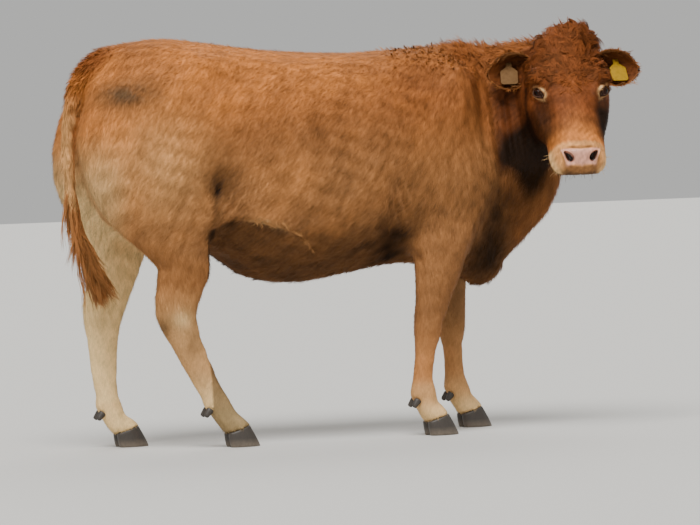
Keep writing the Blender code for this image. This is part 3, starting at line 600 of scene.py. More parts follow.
def ear_skin(side):
    """One ear as a closed leaf: its points, its four-cornered faces, and for each point how far
    out and across it is, how close to the rim, whether it is in the hollow, and the way of the hair."""
    lengths, widths = 46, 30
    t, s = np.meshgrid(np.linspace(0, 1, lengths), np.linspace(-1, 1, widths), indexing="ij")
    sheet = ear_sheet(side, t, s)
    lengthwise = np.gradient(sheet, axis=0).reshape(-1, 3)
    crosswise = np.gradient(sheet, axis=1).reshape(-1, 3)
    normal = unit(np.cross(lengthwise, crosswise))
    if (normal @ ear_axes(side)[:, 2]).mean() < 0:
        normal = -normal
    edge = np.clip(1 - np.maximum(np.abs(s), np.abs(2 * t - 1) ** 3), 0, 1).ravel()
    thick = 0.0016 + 0.0036 * np.clip(edge / 0.25, 0, 1) * (1.3 - 0.6 * t.ravel())
    ridge = 0.0012 * np.cos(s * 2.4 * math.pi) * np.sin(math.pi * t) * (np.abs(s) < 0.8)
    flat = sheet.reshape(-1, 3)
    front = flat + normal * (thick / 2 + ridge.ravel())[:, None]
    back = flat - normal * (thick / 2)[:, None]
    count = lengths * widths
    number = np.arange(count).reshape(lengths, widths)
    a, b = number[:-1, :-1].ravel(), number[:-1, 1:].ravel()
    c, d = number[1:, 1:].ravel(), number[1:, :-1].ravel()
    if np.cross(lengthwise[50], crosswise[50]) @ normal[50] > 0:
        a, b, c, d = a, d, c, b
    ring = np.concatenate((number[0, :-1], number[:-1, -1], number[-1, :0:-1], number[:0:-1, 0]))
    after = np.roll(ring, -1)
    front_quads = np.stack((a, b, c, d), 1)
    back_quads = np.stack((d, c, b, a), 1) + count
    rim_quads = np.stack((ring, after, after + count, ring + count), 1)
    quads = np.concatenate((front_quads, back_quads, rim_quads))
    points = np.concatenate((front, back))
    if faces_in(points[rim_quads[widths + 10]], flat.mean(0)):
        quads = np.concatenate((front_quads, back_quads, rim_quads[:, ::-1]))
    outward = unit(lengthwise) + 0.35 * s.ravel()[:, None] * unit(crosswise)
    facts = {
        "out": np.tile(t.ravel(), 2),
        "rim": np.tile(1 - edge, 2),
        "hollow": np.concatenate((np.ones(count), np.zeros(count))),
        "way": np.tile(unit(outward), (2, 1)),
        "across": np.tile(s.ravel(), 2),
    }
    return points, quads, facts


def lid_point(side, angle, radius, slant=0, tall=1):
    """A point of the almond opening on a ball, the angle turning from the nose up to the brow."""
    middle, look, corner, brow = eye_axes(side)
    cos, sin = math.cos(angle), math.sin(angle)
    a = LID_ACROSS * cos
    b = tall * (LID_UP if sin > 0 else LID_DOWN) * (1 - slant * cos) * math.copysign(abs(sin) ** 1.18, sin)
    # drawn out to a point at the corner by the nose
    a += 0.015 * max(cos - 0.8, 0)
    height = math.sqrt(max(radius ** 2 - a * a - b * b, 0.00004))
    return middle + a * corner + b * brow + height * look


def lid_rim(side):
    """The moist edge of the lids, a thin tube round the opening."""
    steps, sides, thick = 56, 8, 0.0017
    angles = 2 * math.pi * np.arange(steps) / steps
    line = np.array([lid_point(side, angle, eye_radius() + 0.0014, LID_SLANT) for angle in angles])
    ahead = unit(np.roll(line, -1, 0) - np.roll(line, 1, 0))
    outward = unit(line - eye_axes(side)[0])
    aside = np.cross(ahead, outward)
    turns = np.linspace(0, 2 * math.pi, sides, endpoint=False)[None, :, None]
    tube = line[:, None] + thick * (np.cos(turns) * aside[:, None] + 0.8 * np.sin(turns) * outward[:, None])
    number = np.arange(steps * sides).reshape(steps, sides)
    onward, around = np.roll(number, -1, 0), np.roll(number, -1, 1)
    quads = np.stack((number, onward, np.roll(onward, -1, 1), around), 2).reshape(-1, 4)
    points = tube.reshape(-1, 3)
    if faces_in(points[quads[0]], line[0]):
        quads = quads[:, ::-1]
    return points, quads


# Where the coat is what


def way_of_hair(points, normals, shares):
    """The lie of the coat before it is evened out over the skin."""
    x = points[:, 0]
    aside = points[:, 1] - SPINE_Y
    local = head_local(points)
    down = np.array([0.0, 0.0, -1.0])
    trunk = np.stack([
        -0.75 + 0.45 * ramp(x, 0.0, 0.45) + 0.4 * ramp(x, -0.65, -0.95),
        0.25 * np.sign(aside) * ramp(normals[:, 2], 0.3, 0.9)
        - 2.2 * aside * ramp(normals[:, 2], -0.3, -0.9),
        -0.62 - 0.3 * ramp(x, 0.0, 0.4) + 0.5 * ramp(normals[:, 2], 0.75, 0.98),
    ], 1)
    neck = np.tile([-0.45, 0.2, -0.85], (len(x), 1))
    crest = ramp(normals[:, 2], 0.55, 0.9)[:, None]
    neck = neck * (1 - crest) + crest * np.array([-0.75, 0.45, 0.12])
    # on the face the hair runs out from the whorl, and back over the cheeks
    from_whorl = np.stack([local[:, 0] - WHORL[0], np.zeros(len(x)), local[:, 2] - WHORL[1]], 1)
    from_whorl = from_whorl / (np.linalg.norm(from_whorl, axis=1, keepdims=True) + 0.01)
    cheek = ramp(local[:, 1], -0.05, -0.12)[:, None]
    face = from_whorl * (1 - cheek) + cheek * np.array([-0.25, -0.9, 0])
    nose = ramp(local[:, 0], 0.34, 0.46)[:, None]
    face = face * (1 - nose * cheek) + nose * cheek * np.array([0.2, -0.9, 0])
    head = face @ np.array(HEAD).T
    way = part(shares, "trunk")[:, None] * trunk + part(shares, "neck")[:, None] * neck
    way += part(shares, "head")[:, None] * head
    way += part(shares, "tail", "switch", "thigh", "shank", "arm", "shin", "foot")[:, None] * down
    return way


def markings(points, normals, shares):
    """The colours of the coat and skin as soft masks, by where a point is on the animal, with painted shade
    and highlights among them.
    """
    x, y, z = points.T
    aside = np.abs(y - SPINE_Y)
    local = head_local(points)
    u, v, w = local.T
    off_nose = np.abs(w)
    head, neck, trunk, thigh, shank, arm, foot, tail, switch = (part(shares, name) for name in (
        "head", "neck", "trunk", "thigh", "shank", "arm", "foot", "tail", "switch"))
    body, quarter, hind, fore = trunk + neck, trunk + thigh, thigh + shank, part(shares, "arm", "shin")
    cloud = drift(points, 0.16, 3) * 0.6 + drift(points, 0.07, 4) * 0.4
    outside = aside > 0.1
    right = ramp(y, SPINE_Y + 0.1, SPINE_Y - 0.05)
    inward = ramp(-np.sign(y - SPINE_Y) * normals[:, 1], -0.1, 0.6)

    def spot(centre, radii):
        return near(points, centre, radii)

    # ginger along the top of the back, lighter there partly as painted light from the sky above
    ginger = body * ramp(z + 0.03 * cloud, 1.2, 1.4) * (
        0.3 + 0.5 * ramp(x, 0.3, -0.1) - 0.45 * ramp(x, -0.62, -0.78))
    ginger += body * (0.45 * spot((-0.35, -0.2, 1.23), (0.35, 0.3, 0.1)) + 0.28 * np.clip(cloud, 0, 1))
    ginger += 0.85 * spot((-0.74, SPINE_Y - 0.3, 1.05), (0.19, 0.25, 0.22)) * quarter
    ginger += 0.5 * spot((-0.3, -0.2, 0.95), (0.12, 0.2, 0.1)) + 0.5 * body * ramp(x, -0.8, -0.95)
    ginger += 0.3 * spot((0.28, -0.2, 1.05), (0.2, 0.4, 0.2)) + 0.12 * (arm + thigh)
    # ginger down the middle of the face, partly a painted highlight on the ridge of the nose, and the ginger
    # of the lower nose
    along_nose = 0.5 * bell(w, 0.045) * ramp(u, 0.24, 0.36) + 0.9 * ramp(u, 0.38, 0.47)
    ginger += head * along_nose * ramp(v, -0.12, -0.06)
    ginger += head * 0.5 * near(local, (0.245, 0, 0), (0.035, 0.04, 0.028))
    ginger += 0.4 * fore * ramp(z, 0.42, 0.25) + 0.25 * hind * ramp(z, 0.8, 0.5)
    ginger += tail * ramp(z, 1.36, 1.2) * 0.9 + switch * 0.3 + foot * 0.35
    red = head * ramp(u, 0.5, 0.3) * 0.85 + neck * (0.3 + 0.2 * ramp(z, 1.2, 1.38))
    red += spot((-0.93, SPINE_Y, 1.385), (0.13, 0.1, 0.08)) * ramp(aside, 0.11, 0.05) * 0.9
    red += 0.5 * spot((0.46, 0.02, 0.66), (0.16, 0.2, 0.12))
    red += 0.4 * spot((0.25, SPINE_Y - 0.28, 1.25), (0.2, 0.25, 0.2))

    # painted shade on the neck, in the groove where cheek meets neck, under the jaw and on the brisket: full
    # on the right, where the turned head shades it, weaker on the left
    shaded = 0.45 + 0.55 * right
    cheek_end = v + 0.055 + 0.65 * (u - 0.186)  # 0 where the cheek meets the neck
    off_face = 1 - head * ramp(cheek_end, -0.03, 0.0)
    dark = 1.1 * shaded * off_face * spot((0.655, -0.13, 0.955), (0.065, 0.2, 0.15))
    dark += 0.55 * head * bell(cheek_end + 0.016, 0.016) * ramp(u, 0.12, 0.18) * ramp(u, 0.42, 0.34)
    dark += 0.7 * (1 - head) * shaded * spot((0.53, -0.04, 0.78), (0.09, 0.2, 0.2))
    dark += 0.22 * off_face * head * ramp(v, -0.1, -0.16)
    dark += 0.6 * spot((0.46, 0.0, 0.61), (0.16, 0.25, 0.1))
    # painted shade in the hollow of the flank, and in the crease that runs down from it in front of the
    # stifle
    dark += 0.5 * spot((-0.541, SPINE_Y, 0.93), (0.05, 0.5, 0.045)) * outside * (0.2 + 0.8 * right)
    dark += 0.45 * spot((-0.53, SPINE_Y, 0.94), (0.11, 0.5, 0.1)) * outside * (0.3 + 0.7 * right)
    crease = bell(x + 0.541 - 0.15 * (z - 0.93), 0.014) * ramp(z, 0.96, 0.9) * ramp(z, 0.72, 0.8)
    dark += 0.4 * crease * outside * quarter
    # painted shade low on the chest, under the front of the belly
    dark += 0.33 * spot((0.14, SPINE_Y, 0.72), (0.11, 0.4, 0.1))
    # painted shade in the furrows on both sides of the tail
    hanging = (tail + switch > 0.6) & (z < 1.25)
    gap = np.linalg.norm(points[:, :2] - tail_middles(points, hanging, points), axis=1)
    beside = ramp(gap, 0.05, 0.03) * (1 - tail - switch) * ramp(z, 1.3, 1.2) * ramp(z, 0.8, 0.9)
    dark += 0.85 * beside * quarter
    under_fold = below_fold(points)
    # painted shade under the edge of the flank fold and along the underside of the belly
    flank = outside * ramp(under_fold, 0.0, 0.01) * (under_fold < 1) * ramp(x, -0.215, -0.32)
    belly = body * ramp(z + 0.02 * cloud, 0.86, 0.68) * ramp(x, 0.3, 0.1) * ramp(x, -0.62, -0.5)
    # low down the coat is duller, neither so red nor so dark
    dull = ramp(z, 1.25, 0.9) * (1 - head) * (1 - 0.5 * neck)
    dark += 0.6 * np.maximum(flank, belly) + 0.17 * body * np.clip(-cloud, 0, 1) + 0.08 * dull
    # painted shade between the ribs
    for at, lean in ((-0.31, 0.0), (-0.2, 0.02), (-0.1, 0.03)):
        streak = bell(x - at - lean * (z - 1.1), 0.03) * bell(z - 1.1, 0.13)
        dark += 0.2 * streak * body * ramp(aside, 0.1, 0.2)
    # painted shade behind the elbow, darker about the knees, and dried mud about the hocks
    dark += 0.2 * (arm + trunk) * spot((0.3, SPINE_Y - 0.25, 0.85), (0.2, 0.3, 0.14))
    dark += 0.35 * fore * spot((0.3, SPINE_Y, 0.46), (0.3, 0.5, 0.09))
    dark += 0.55 * hind * spot((-0.745, -0.1, 0.435), (0.032, 0.08, 0.045))
    dark += 0.45 * hind * spot((-0.645, -0.1, 0.38), (0.026, 0.08, 0.05))
    dark += 0.14 * hind * ramp(z, 0.98, 0.85) * ramp(z, 0.5, 0.6) * right
    # painted shade on the left forelegs; the lower switch darker
    dark += 0.12 * fore * (1 - right) + 0.35 * switch * ramp(z, 0.8, 0.6)
    # painted shade on the sides of the face, under the eye and down to the lips
    dark += head * 0.62 * ramp(off_nose, 0.062, 0.1) * ramp(u, 0.26, 0.33) * ramp(u, 0.48, 0.42)
    # painted shade on the left, darkest along the front of the cheek by the way the skin faces, and a little
    # lighter on the rest of that side
    front_of_cheek = ramp(normals @ np.array(HEAD @ Vector((0.555, 0.808, -0.197))), -0.45, 0.15)
    dark += head * 0.22 * front_of_cheek * ramp(w, 0.06, 0.11) * ramp(u, 0.2, 0.3) * ramp(u, 0.5, 0.44)
    dark -= head * 0.14 * (1 - front_of_cheek) * ramp(w, 0.06, 0.1)
    # painted shade either side of the middle of the face, down to the nose
    dark += head * 0.18 * ramp(off_nose, 0.02, 0.07) * ramp(u, 0.46, 0.38)
    # darker over the poll and crown, in patches: partly darker coat, partly painted shade among the curls
    dark += head * (0.08 + 0.3 * ramp(drift(points, 0.035, 12), -0.1, 0.7)) * ramp(u, 0.26, 0.17)

    # duller low down, and the left forelegs greyer with the painted shade on them
    pale = 0.1 * dull + 0.1 * fore * (1 - right)
    pale += 0.5 * ramp(x, -0.84, -0.98) * ramp(z, 1.16, 0.9) * quarter
    pale += 0.85 * (quarter + shank) * inward * ramp(z, 1.0, 0.8) * ramp(x, -0.45, -0.6)
    # paler hair along the edge of the flank fold, partly a painted highlight where the edge catches the light
    pale += 0.5 * bell(under_fold, 0.009) * spot((-0.37, SPINE_Y, 0.79), (0.06, 0.5, 0.1))
    pale += 0.2 * spot((-0.74, SPINE_Y - 0.3, 1.02), (0.16, 0.25, 0.18)) + 0.3 * tail * ramp(z, 1.32, 1.18)
    pale += (0.24 + 0.56 * (1 - right)) * hind * ramp(z, 0.62, 0.42) + 0.25 * shank * ramp(z, 0.3, 0.2)
    pale += 0.4 * spot((-0.685, -0.12, 0.465), (0.035, 0.06, 0.03))
    pale += foot * (0.7 + 0.3 * ramp(z, 0.17, 0.1)) * ramp(x, 0.1, -0.1)
    pale += foot * (0.22 + 0.45 * ramp(z, 0.15, 0.07)) * ramp(x, -0.1, 0.1)
    # the muzzle: pale round the corners of the mouth; painted shade under the nostrils and on the chin
    edge = u + 0.25 * (v + 0.05) + 0.35 * np.clip(off_nose - 0.05, 0, 1) + 0.003 * drift(points, 0.02, 5)
    muzzle = head * ramp(edge, 0.478, 0.492)
    at_corner = ramp(off_nose, 0.048, 0.082)
    lip = mouth_line(u, v)
    under = head * ramp(v + 0.3 * (u - 0.56), -0.047, -0.06) * ramp(u, 0.5, 0.53) * (1 - at_corner)
    chin = head * ramp(lip, 0.006, -0.006) * ramp(u, 0.42, 0.48)
    pale = np.maximum(pale, (0.22 + 0.45 * at_corner * ramp(v, -0.06, -0.11)) * muzzle)
    dark += (0.62 + 0.25 * ramp(v, -0.07, -0.1)) * under + 0.62 * chin
    # painted shade in the fold over the pad
    fold = bell(u + 0.2 * off_nose - 0.506, 0.005)
    dark += head * 0.6 * fold * ramp(off_nose, 0.06, 0.03) * (v > -0.06)
    # dried mud on the quarter
    smudge = spot((-0.86, -0.155, 1.26), (0.125, 0.12, 0.05)) * ramp(drift(points, 0.05, 8), -2.0, -0.2)
    # bare skin: the pad between the nostrils, the lips and the nostrils' wings
    pad_low = 0.56 - 0.12 * off_nose
    pad = head * ramp(u + 0.2 * off_nose, 0.508, 0.515) * ramp(u, pad_low + 0.006, pad_low - 0.004)
    pad *= ramp(off_nose + 0.2 * (u - 0.52), 0.068, 0.052)
    lips = head * ramp(u, 0.44, 0.46) * bell(lip - LIP_EDGE, 0.007)
    bare = np.clip(pad * (v > -0.09) + 0.7 * lips, 0, 1)
    # painted shade in the line of the mouth
    inner = head * 0.55 * bell(lip - LIP_EDGE, 0.0032) * ramp(u, 0.41, 0.44)
    for side in SIDES:
        _, nostril = nostril_place(u, v, side * w)
        on_nose = head * ramp(u, 0.47, 0.5) * ramp(v, -0.1, -0.085)
        # painted shade inside the nostril
        inner = np.maximum(inner, on_nose * ramp(nostril, 1.12, 0.8))
        bare = np.maximum(bare, on_nose * 0.8 * ramp(nostril, 1.6, 1.3))
        middle, look, corner, brow = eye_axes(side)
        away = points - middle
        a, b = away @ corner, away @ brow
        opening = np.hypot(a / LID_ACROSS, b / np.where(b > 0, LID_UP, LID_DOWN))
        front = head * (away @ look > -0.02) * (np.hypot(a, b) < 0.06)
        # pale hair rings the eye, most of it towards the nose
        ring = np.where(b > 0, ramp(opening, 1.18, 1.3) * ramp(opening, 1.9, 1.45),
                        0.7 * ramp(opening, 1.2, 1.35) * ramp(opening, 2.1, 1.6))
        start = np.where(b > 0, -0.016, -0.026)
        ring = ring * (0.1 + 0.9 * ramp(a, start, start + 0.02)) * ramp(a, 0.052, 0.034)
        # and runs on as a stripe down the face, beside the dark line of the tear
        fallen = b + 0.002 + 0.85 * np.clip(a - 0.018, 0, 1)
        stripe = bell(fallen - 0.01, 0.004) * ramp(a, 0.016, 0.024) * ramp(a, 0.05, 0.03)
        ring = front * np.maximum(ring, 0.6 * stripe)
        dark *= 1 - 0.85 * ring
        ginger += 0.8 * ring
        pale = np.maximum(pale, 0.45 * ring)
        dark += 0.9 * front * ramp(opening, 1.26, 1.12)
        tear = bell(fallen, 0.003) * ramp(a, 0.015, 0.02) * ramp(a, 0.054, 0.03)
        inner = np.maximum(inner, 0.75 * front * tear)
    masks = (ginger, red, pale, dark, smudge, bare, inner)
    return {name: np.clip(mask, 0, 1) for name, mask in zip(COLOUR_LAYERS, masks)}


def ear_markings(hollow, rim, out):
    """The masks of an ear that aren't zero: dark in the hollow as painted shade, deepest towards the root,
    and pale along the rim.
    """
    dark = hollow * (0.54 - 0.2 * ramp(out, 0.4, 0.95)) * ramp(rim, 0.98, 0.86) + 0.15 * (1 - hollow)
    return {"ginger": 0.1, "red": 0.7, "dark": dark, "pale": 0.1 * ramp(rim, 0.86, 0.98)}


# What is known of each point beside its masks: of an ear's, as ear_skin says, and the rims of the lids.
FACTS = ("rim", "hollow", "out", "across", "lid")


def whole_skin():
    """The skin of body and ears as one object, with all that the coat needs to know of it."""
    mesh, shares = body_skin()
    points, edges = read_mesh(mesh)
    normals = read_normals(mesh)
    way = way_of_hair(points, normals, shares)
    way = flat_on(spread(unit(way), edges, len(points), 30), normals)
    rows = {
        "points": points, "shares": shares, "way": way,
        "corners": read(mesh.loops, "vertex_index", np.int32),
        "sizes": read(mesh.polygons, "loop_total", np.int32),
        **markings(points, normals, shares), **dict.fromkeys(FACTS, np.zeros(len(points))),
    }
    rows = {name: [row] for name, row in rows.items()}
    bpy.data.meshes.remove(mesh)

    def attach(spots, quads, region, **values):
        """Adds a sheet of four-cornered faces to the skin, with what is known of its points."""
        start, many = sum(len(row) for row in rows["points"]), len(spots)
        values.update(points=spots, corners=(quads + start).ravel(), sizes=np.full(len(quads), 4),
                      shares=np.tile(np.array(REGIONS) == region, (many, 1)).astype(float))
        for name, row in rows.items():
            value = values.get(name, 0.0)
            row.append(value if np.ndim(value) else np.full(many, float(value)))

    for side in SIDES:
        spots, quads, ear = ear_skin(side)
        attach(spots, quads, "ear", **ear, **ear_markings(ear["hollow"], ear["rim"], ear["out"]))
    for side in SIDES:
        spots, quads = lid_rim(side)
        attach(spots, quads, "head", way=np.tile([0.0, 0.0, -1.0], (len(spots), 1)),
               bare=0.2, dark=1, inner=0.5, lid=1)
    rows = {name: np.concatenate(row) for name, row in rows.items()}
    covered = (1 - ramp(rows["bare"], 0.15, 0.4)) * (1 - ramp(rows["inner"], 0.2, 0.4))
    made = new_mesh("skin", rows["points"], rows["corners"], rows["sizes"])
    made.calc_loop_triangles()
    normals = read_normals(made)
    for name in COLOUR_LAYERS:
        give(made, name, rows[name])
    give(made, "tone", cloudy(rows["points"]))
    return {
        "points": rows["points"], "normals": normals, "shares": rows["shares"],
        "way": flat_on(rows["way"], normals),
        "triangles": read(made.loop_triangles, "vertices", np.int32, 3),
        "masks": {name: rows[name] for name in COLOUR_LAYERS}, "facts": {name: rows[name] for name in FACTS},
        "haired": covered * (rows["lid"] < 1),
        "object": show("skin", made),
    }


# The coat


def scattered(skin, weights, count, seed):
    """Places on the skin, thicker where the weights are high: the triangle and where in it."""
    rng = np.random.default_rng(seed)
    first, second, third = skin["points"][skin["triangles"]].transpose(1, 0, 2)
    area = 0.5 * np.linalg.norm(np.cross(second - first, third - first), axis=1)
    share = np.cumsum(area * weights[skin["triangles"]].mean(1))
    at = (np.arange(count) + rng.uniform(0, 1, count)) / count * share[-1]
    which = np.minimum(np.searchsorted(share, at), len(share) - 1)
    a, b = rng.uniform(0, 1, (2, count))
    flip = a + b > 1
    a, b = np.where(flip, 1 - a, a), np.where(flip, 1 - b, b)
    return which, np.stack((1 - a - b, a, b), 1)


def sampled(skin, values, which, blend):
    rows = values[skin["triangles"][which]]
    if rows.ndim == 2:
        return (rows * blend).sum(1)
    return (rows * blend[:, :, None]).sum(1)


def hair_mesh(name, roots, normals, ways, shape, marks):
    """Many tufts as one mesh. Each is a bent three-sided spike closed at its root.

    shape: length, width, rise and fall (degrees off the skin at root and tip), turn and wave
    (sideways, degrees), flat (thickness by width), rings, sunk (root under the skin)."""
    count, rings = len(roots), shape["rings"]
    length, width = shape["length"][:, None], shape["width"][:, None]
    aside = np.cross(normals, ways)
    s = np.linspace(0, 1, rings + 1)[None, :]
    rise, fall = np.radians(shape["rise"])[:, None], np.radians(shape["fall"])[:, None]
    lift = rise + (fall - rise) * s ** 0.75
    turn = np.radians(shape["turn"])[:, None] * s
    turn = turn + np.radians(shape["wave"])[:, None] * np.sin(2 * math.pi * 1.3 * s + shape["phase"][:, None])
    flatwise = np.cos(turn)[..., None] * ways[:, None] + np.sin(turn)[..., None] * aside[:, None]
    crosswise = np.cos(turn)[..., None] * aside[:, None] - np.sin(turn)[..., None] * ways[:, None]
    ahead = np.cos(lift)[..., None] * flatwise + np.sin(lift)[..., None] * normals[:, None]
    above = np.cos(lift)[..., None] * normals[:, None] - np.sin(lift)[..., None] * flatwise
    step = ahead * (length / rings)[..., None]
    line = roots[:, None] - normals[:, None] * shape["sunk"] + np.cumsum(step, 1) - step
    line = line + shape["gather"][:, None] * s[..., None]
    taper = np.where(s < 0.35, 0.72 + 0.8 * s, 1 - (np.maximum(s - 0.35, 0) / 0.65) ** 1.5)
    half = (0.5 * width * taper)[..., None]
    left, right = line - crosswise * half, line + crosswise * half
    ridge = line + above * half * 2 * shape["flat"]
    body = np.stack((left, right, ridge), 2)[:, :rings]
    points = np.concatenate((body.reshape(count, rings * 3, 3), line[:, rings :]), 1)
    per = rings * 3 + 1
    faces = [(0, 1, 2)]
    for ring in range(rings - 1):
        base = 3 * ring
        for i in range(3):
            j = (i + 1) % 3
            faces += [(base + i, base + 3 + i, base + j), (base + j, base + 3 + i, base + 3 + j)]
    last = 3 * (rings - 1)
    faces += [(last + i, per - 1, last + (i + 1) % 3) for i in range(3)]
    faces = np.array(faces)
    if faces_in(points[0][faces[1]], points[0, :3].mean(0)):
        faces = faces[:, ::-1]
    corners = (np.arange(count)[:, None, None] * per + faces[None]).reshape(-1)
    mesh = new_mesh(name, points.reshape(-1, 3), corners, np.full(count * len(faces), 3))
    # shading that follows the coat's surface more than each small spike
    around = np.concatenate((np.tile([-0.8, 0.8, 0.0], rings), [0.0]))
    over = np.concatenate((np.tile([0.25, 0.25, 1.0], rings), [1.0]))
    ring_of = np.concatenate((np.repeat(np.arange(rings), 3), [rings]))
    own = around[None, :, None] * crosswise[:, ring_of] + over[None, :, None] * above[:, ring_of]
    shade = unit((shape["soft"] * normals[:, None] + (1 - shape["soft"]) * own).reshape(-1, 3))
    if shape["soft"] > 0:
        mesh.normals_split_custom_set_from_vertices(shade)
    for mask, values in marks.items():
        give(mesh, mask, np.repeat(values, per))
    give(mesh, "along", np.tile(s[0][ring_of], count))
    # each tuft's patch on the unwrap of the skin, at its root
    patch = np.stack((np.concatenate((np.tile([-1, 1, 0], rings), [0])), 2 * s[0][ring_of] - 1), 1) * 0.0015
    spots = np.repeat(shape["spot"], per, 0) + np.tile(patch, (count, 1))
    mesh.uv_layers.new(name="OFBake").data.foreach_set("uv", spots[corners].astype(np.float32).ravel())
    return show(name, mesh)


def unwrapped(points, tubes):
    """The skin round each tube laid flat, side by side: s along it, t around it.

    A tube: whether a point is on it, its start, its way, and a level way across it."""
    spots = np.zeros((len(points), 2))
    for index, (inside, start, ahead, level) in enumerate(tubes):
        if not inside.any():
            continue
        ahead, level = np.array(ahead, float), np.array(level, float)
        ahead /= np.linalg.norm(ahead)
        level -= (level @ ahead) * ahead
        level /= np.linalg.norm(level)
        third = np.cross(ahead, level)
        away = points[inside] - np.array(start)
        a, b, s = away @ level, away @ third, away @ ahead
        radius = np.hypot(a, b)
        # where the tube closes, the way over its end counts too
        middle = np.median(s)
        s = s - np.sign(s - middle) * 0.7 * np.clip(radius - np.median(radius), -0.2, 0)
        s = (s - s.min()) / max(np.ptp(s), 1e-6)
        t = (np.arctan2(b, a) / (2 * math.pi)) % 1
        spots[inside, 0] = (index + 0.02 + 0.96 * t) / len(tubes)
        spots[inside, 1] = 0.01 + 0.98 * s
    return spots


def cloudy(points):
    """Locks and swirls of lighter and darker hair, the same for skin and coat, fainter on the legs."""
    clouds = 0.5 * drift(points, 0.022, 44) + 0.45 * drift(points, 0.055, 45)
    return clouds * (0.45 + 0.55 * ramp(points[:, 2], 0.5, 0.8))


def ripples(points):
    """Where the coat of back and quarters lies in woolly ripples, and their waves (-1 to 1)."""
    x, z = points[:, 0], points[:, 2]
    zone = ramp(z, 1.0, 1.2) * ramp(x, 0.35, 0.1) * (0.55 + 0.45 * drift(points, 0.3, 71))
    run = 0.55 * x + 0.8 * z + 0.012 * drift(points, 0.11, 72) + 0.005 * drift(points, 0.04, 73)
    return zone, np.sin(2 * math.pi * run / 0.024)


def coat(name, skin, weights, count, tubes, seed, **style):
    """One piece of the coat. Style values may be numbers or functions of what `here` holds."""
    strands = style.get("strands", 1)
    count //= strands
    which, blend = scattered(skin, weights, count, seed)
    rng = np.random.default_rng(seed + 1000)
    roots = sampled(skin, skin["points"], which, blend)
    normals = unit(sampled(skin, skin["normals"], which, blend))
    ways = flat_on(sampled(skin, skin["way"], which, blend), normals)
    shares = sampled(skin, skin["shares"], which, blend)
    marks = {mask: sampled(skin, values, which, blend) for mask, values in skin["masks"].items()}
    for mask, value in style.get("marks", {}).items():
        marks[mask] = np.full(count, value)
    facts = {key: sampled(skin, values, which, blend) for key, values in skin["facts"].items()}
    here = {"points": roots, "shares": shares, "rng": rng, "facts": facts, "ways": ways,
            "local": head_local(roots), "count": count}
    if "way" in style:
        ways = flat_on(style["way"](here), normals)
    # neighbours lean together, and each tuft a little its own way
    lean = np.radians(style.get("clump", 13) * drift(roots, style.get("swirl", 0.035), seed % 5 + 30)
                      + style.get("stray", 9) * rng.normal(size=count))
    ways = np.cos(lean)[:, None] * ways + np.sin(lean)[:, None] * np.cross(normals, ways)

    def styled(key, usual):
        value = style.get(key, usual)
        value = value(here) if callable(value) else value
        return np.broadcast_to(np.asarray(value, float), count).copy()

    shape = {
        "length": styled("length", mixed(shares, COAT_LENGTH)) * rng.uniform(0.72, 1.25, count),
        "width": styled("width", 0.0034) * rng.uniform(0.75, 1.25, count),
        "rise": styled("rise", 30) + 7 * rng.normal(size=count),
        "fall": styled("fall", -9) + 5 * rng.normal(size=count),
        "turn": (styled("turn", 0) * np.where(drift(roots, 0.045, seed + 60) < 0, -1, 1)
                 + 10 * rng.normal(size=count)),
        "wave": styled("wave", 4),
        "phase": rng.uniform(0, 2 * math.pi, count),
        "spot": unwrapped(roots, tubes(roots)),
        "gather": np.zeros((count, 3)),
    }
    woolly, ripple = ripples(roots)
    shape["rise"] += woolly * 9 * ripple
    shape["turn"] += woolly * 22 * ripple
    marks["tone"] = style.get("uneven", 0.35) * rng.uniform(-1, 1, count)
    # the tone follows the woolly ripples as painted light and shade: lighter where the tufts stand up, darker
    # between
    marks["tone"] += cloudy(roots) + 0.5 * woolly * ripple
    if strands > 1:
        # a lock: its strands share one bend, and part a little from each other
        shape = {key: np.repeat(value, strands, 0) for key, value in shape.items()}
        marks = {key: np.repeat(value, strands, 0) for key, value in marks.items()}
        roots, normals, ways = (np.repeat(rows, strands, 0) for rows in (roots, normals, ways))
        many = len(roots)
        part_by = style.get("part", 0.0022)
        aside = np.cross(normals, ways)
        apart = part_by * (rng.normal(size=(many, 1)) * aside + rng.normal(size=(many, 1)) * ways)
        roots = roots + apart
        shape["gather"] = -style.get("gather", 0.6) * apart
        loose = style.get("loose", 1.0)
        for key, amount in (("rise", 6), ("fall", 10), ("turn", 8), ("phase", 0.35)):
            shape[key] = shape[key] + loose * amount * rng.normal(size=many)
        shape["length"] = shape["length"] * rng.uniform(0.8, 1.1, many)
        marks["tone"] = marks["tone"] + 0.2 * rng.normal(size=many)
    marks["tone"] = np.clip(marks["tone"], -1.1, 1.1)
    shape.update({key: style.get(key, usual) for key, usual in
                  (("flat", 0.34), ("rings", 2), ("sunk", 0.0012), ("soft", 0.72))})
    return hair_mesh(name, roots, normals, ways, shape, marks)


def one_tube(start, ahead, level):
    return lambda roots: [(np.ones(len(roots), bool), start, ahead, level)]


def face_tube(along):
    return one_tube(on_head(along, -0.11, 0), HEAD.col[0], -HEAD.col[1])


def leg_tubes(right, left):
    """An upright tube for the leg on each side of the animal."""
    def tubes(roots):
        chosen = roots[:, 1] < SPINE_Y
        return [(chosen, right, (0, 0, 1), (0, -1, 0)), (~chosen, left, (0, 0, 1), (0, -1, 0))]
    return tubes


def ear_tubes(roots):
    right = head_local(roots)[:, 2] < 0
    return [(chosen, ear_start(side), ear_axes(side)[:, 0], ear_axes(side)[:, 2])
            for chosen, side in ((right, -1), (~right, 1))]


def by_eyes(points, reach):
    return sum(near(points, eye_middle(side), (reach, reach, reach)) for side in SIDES)


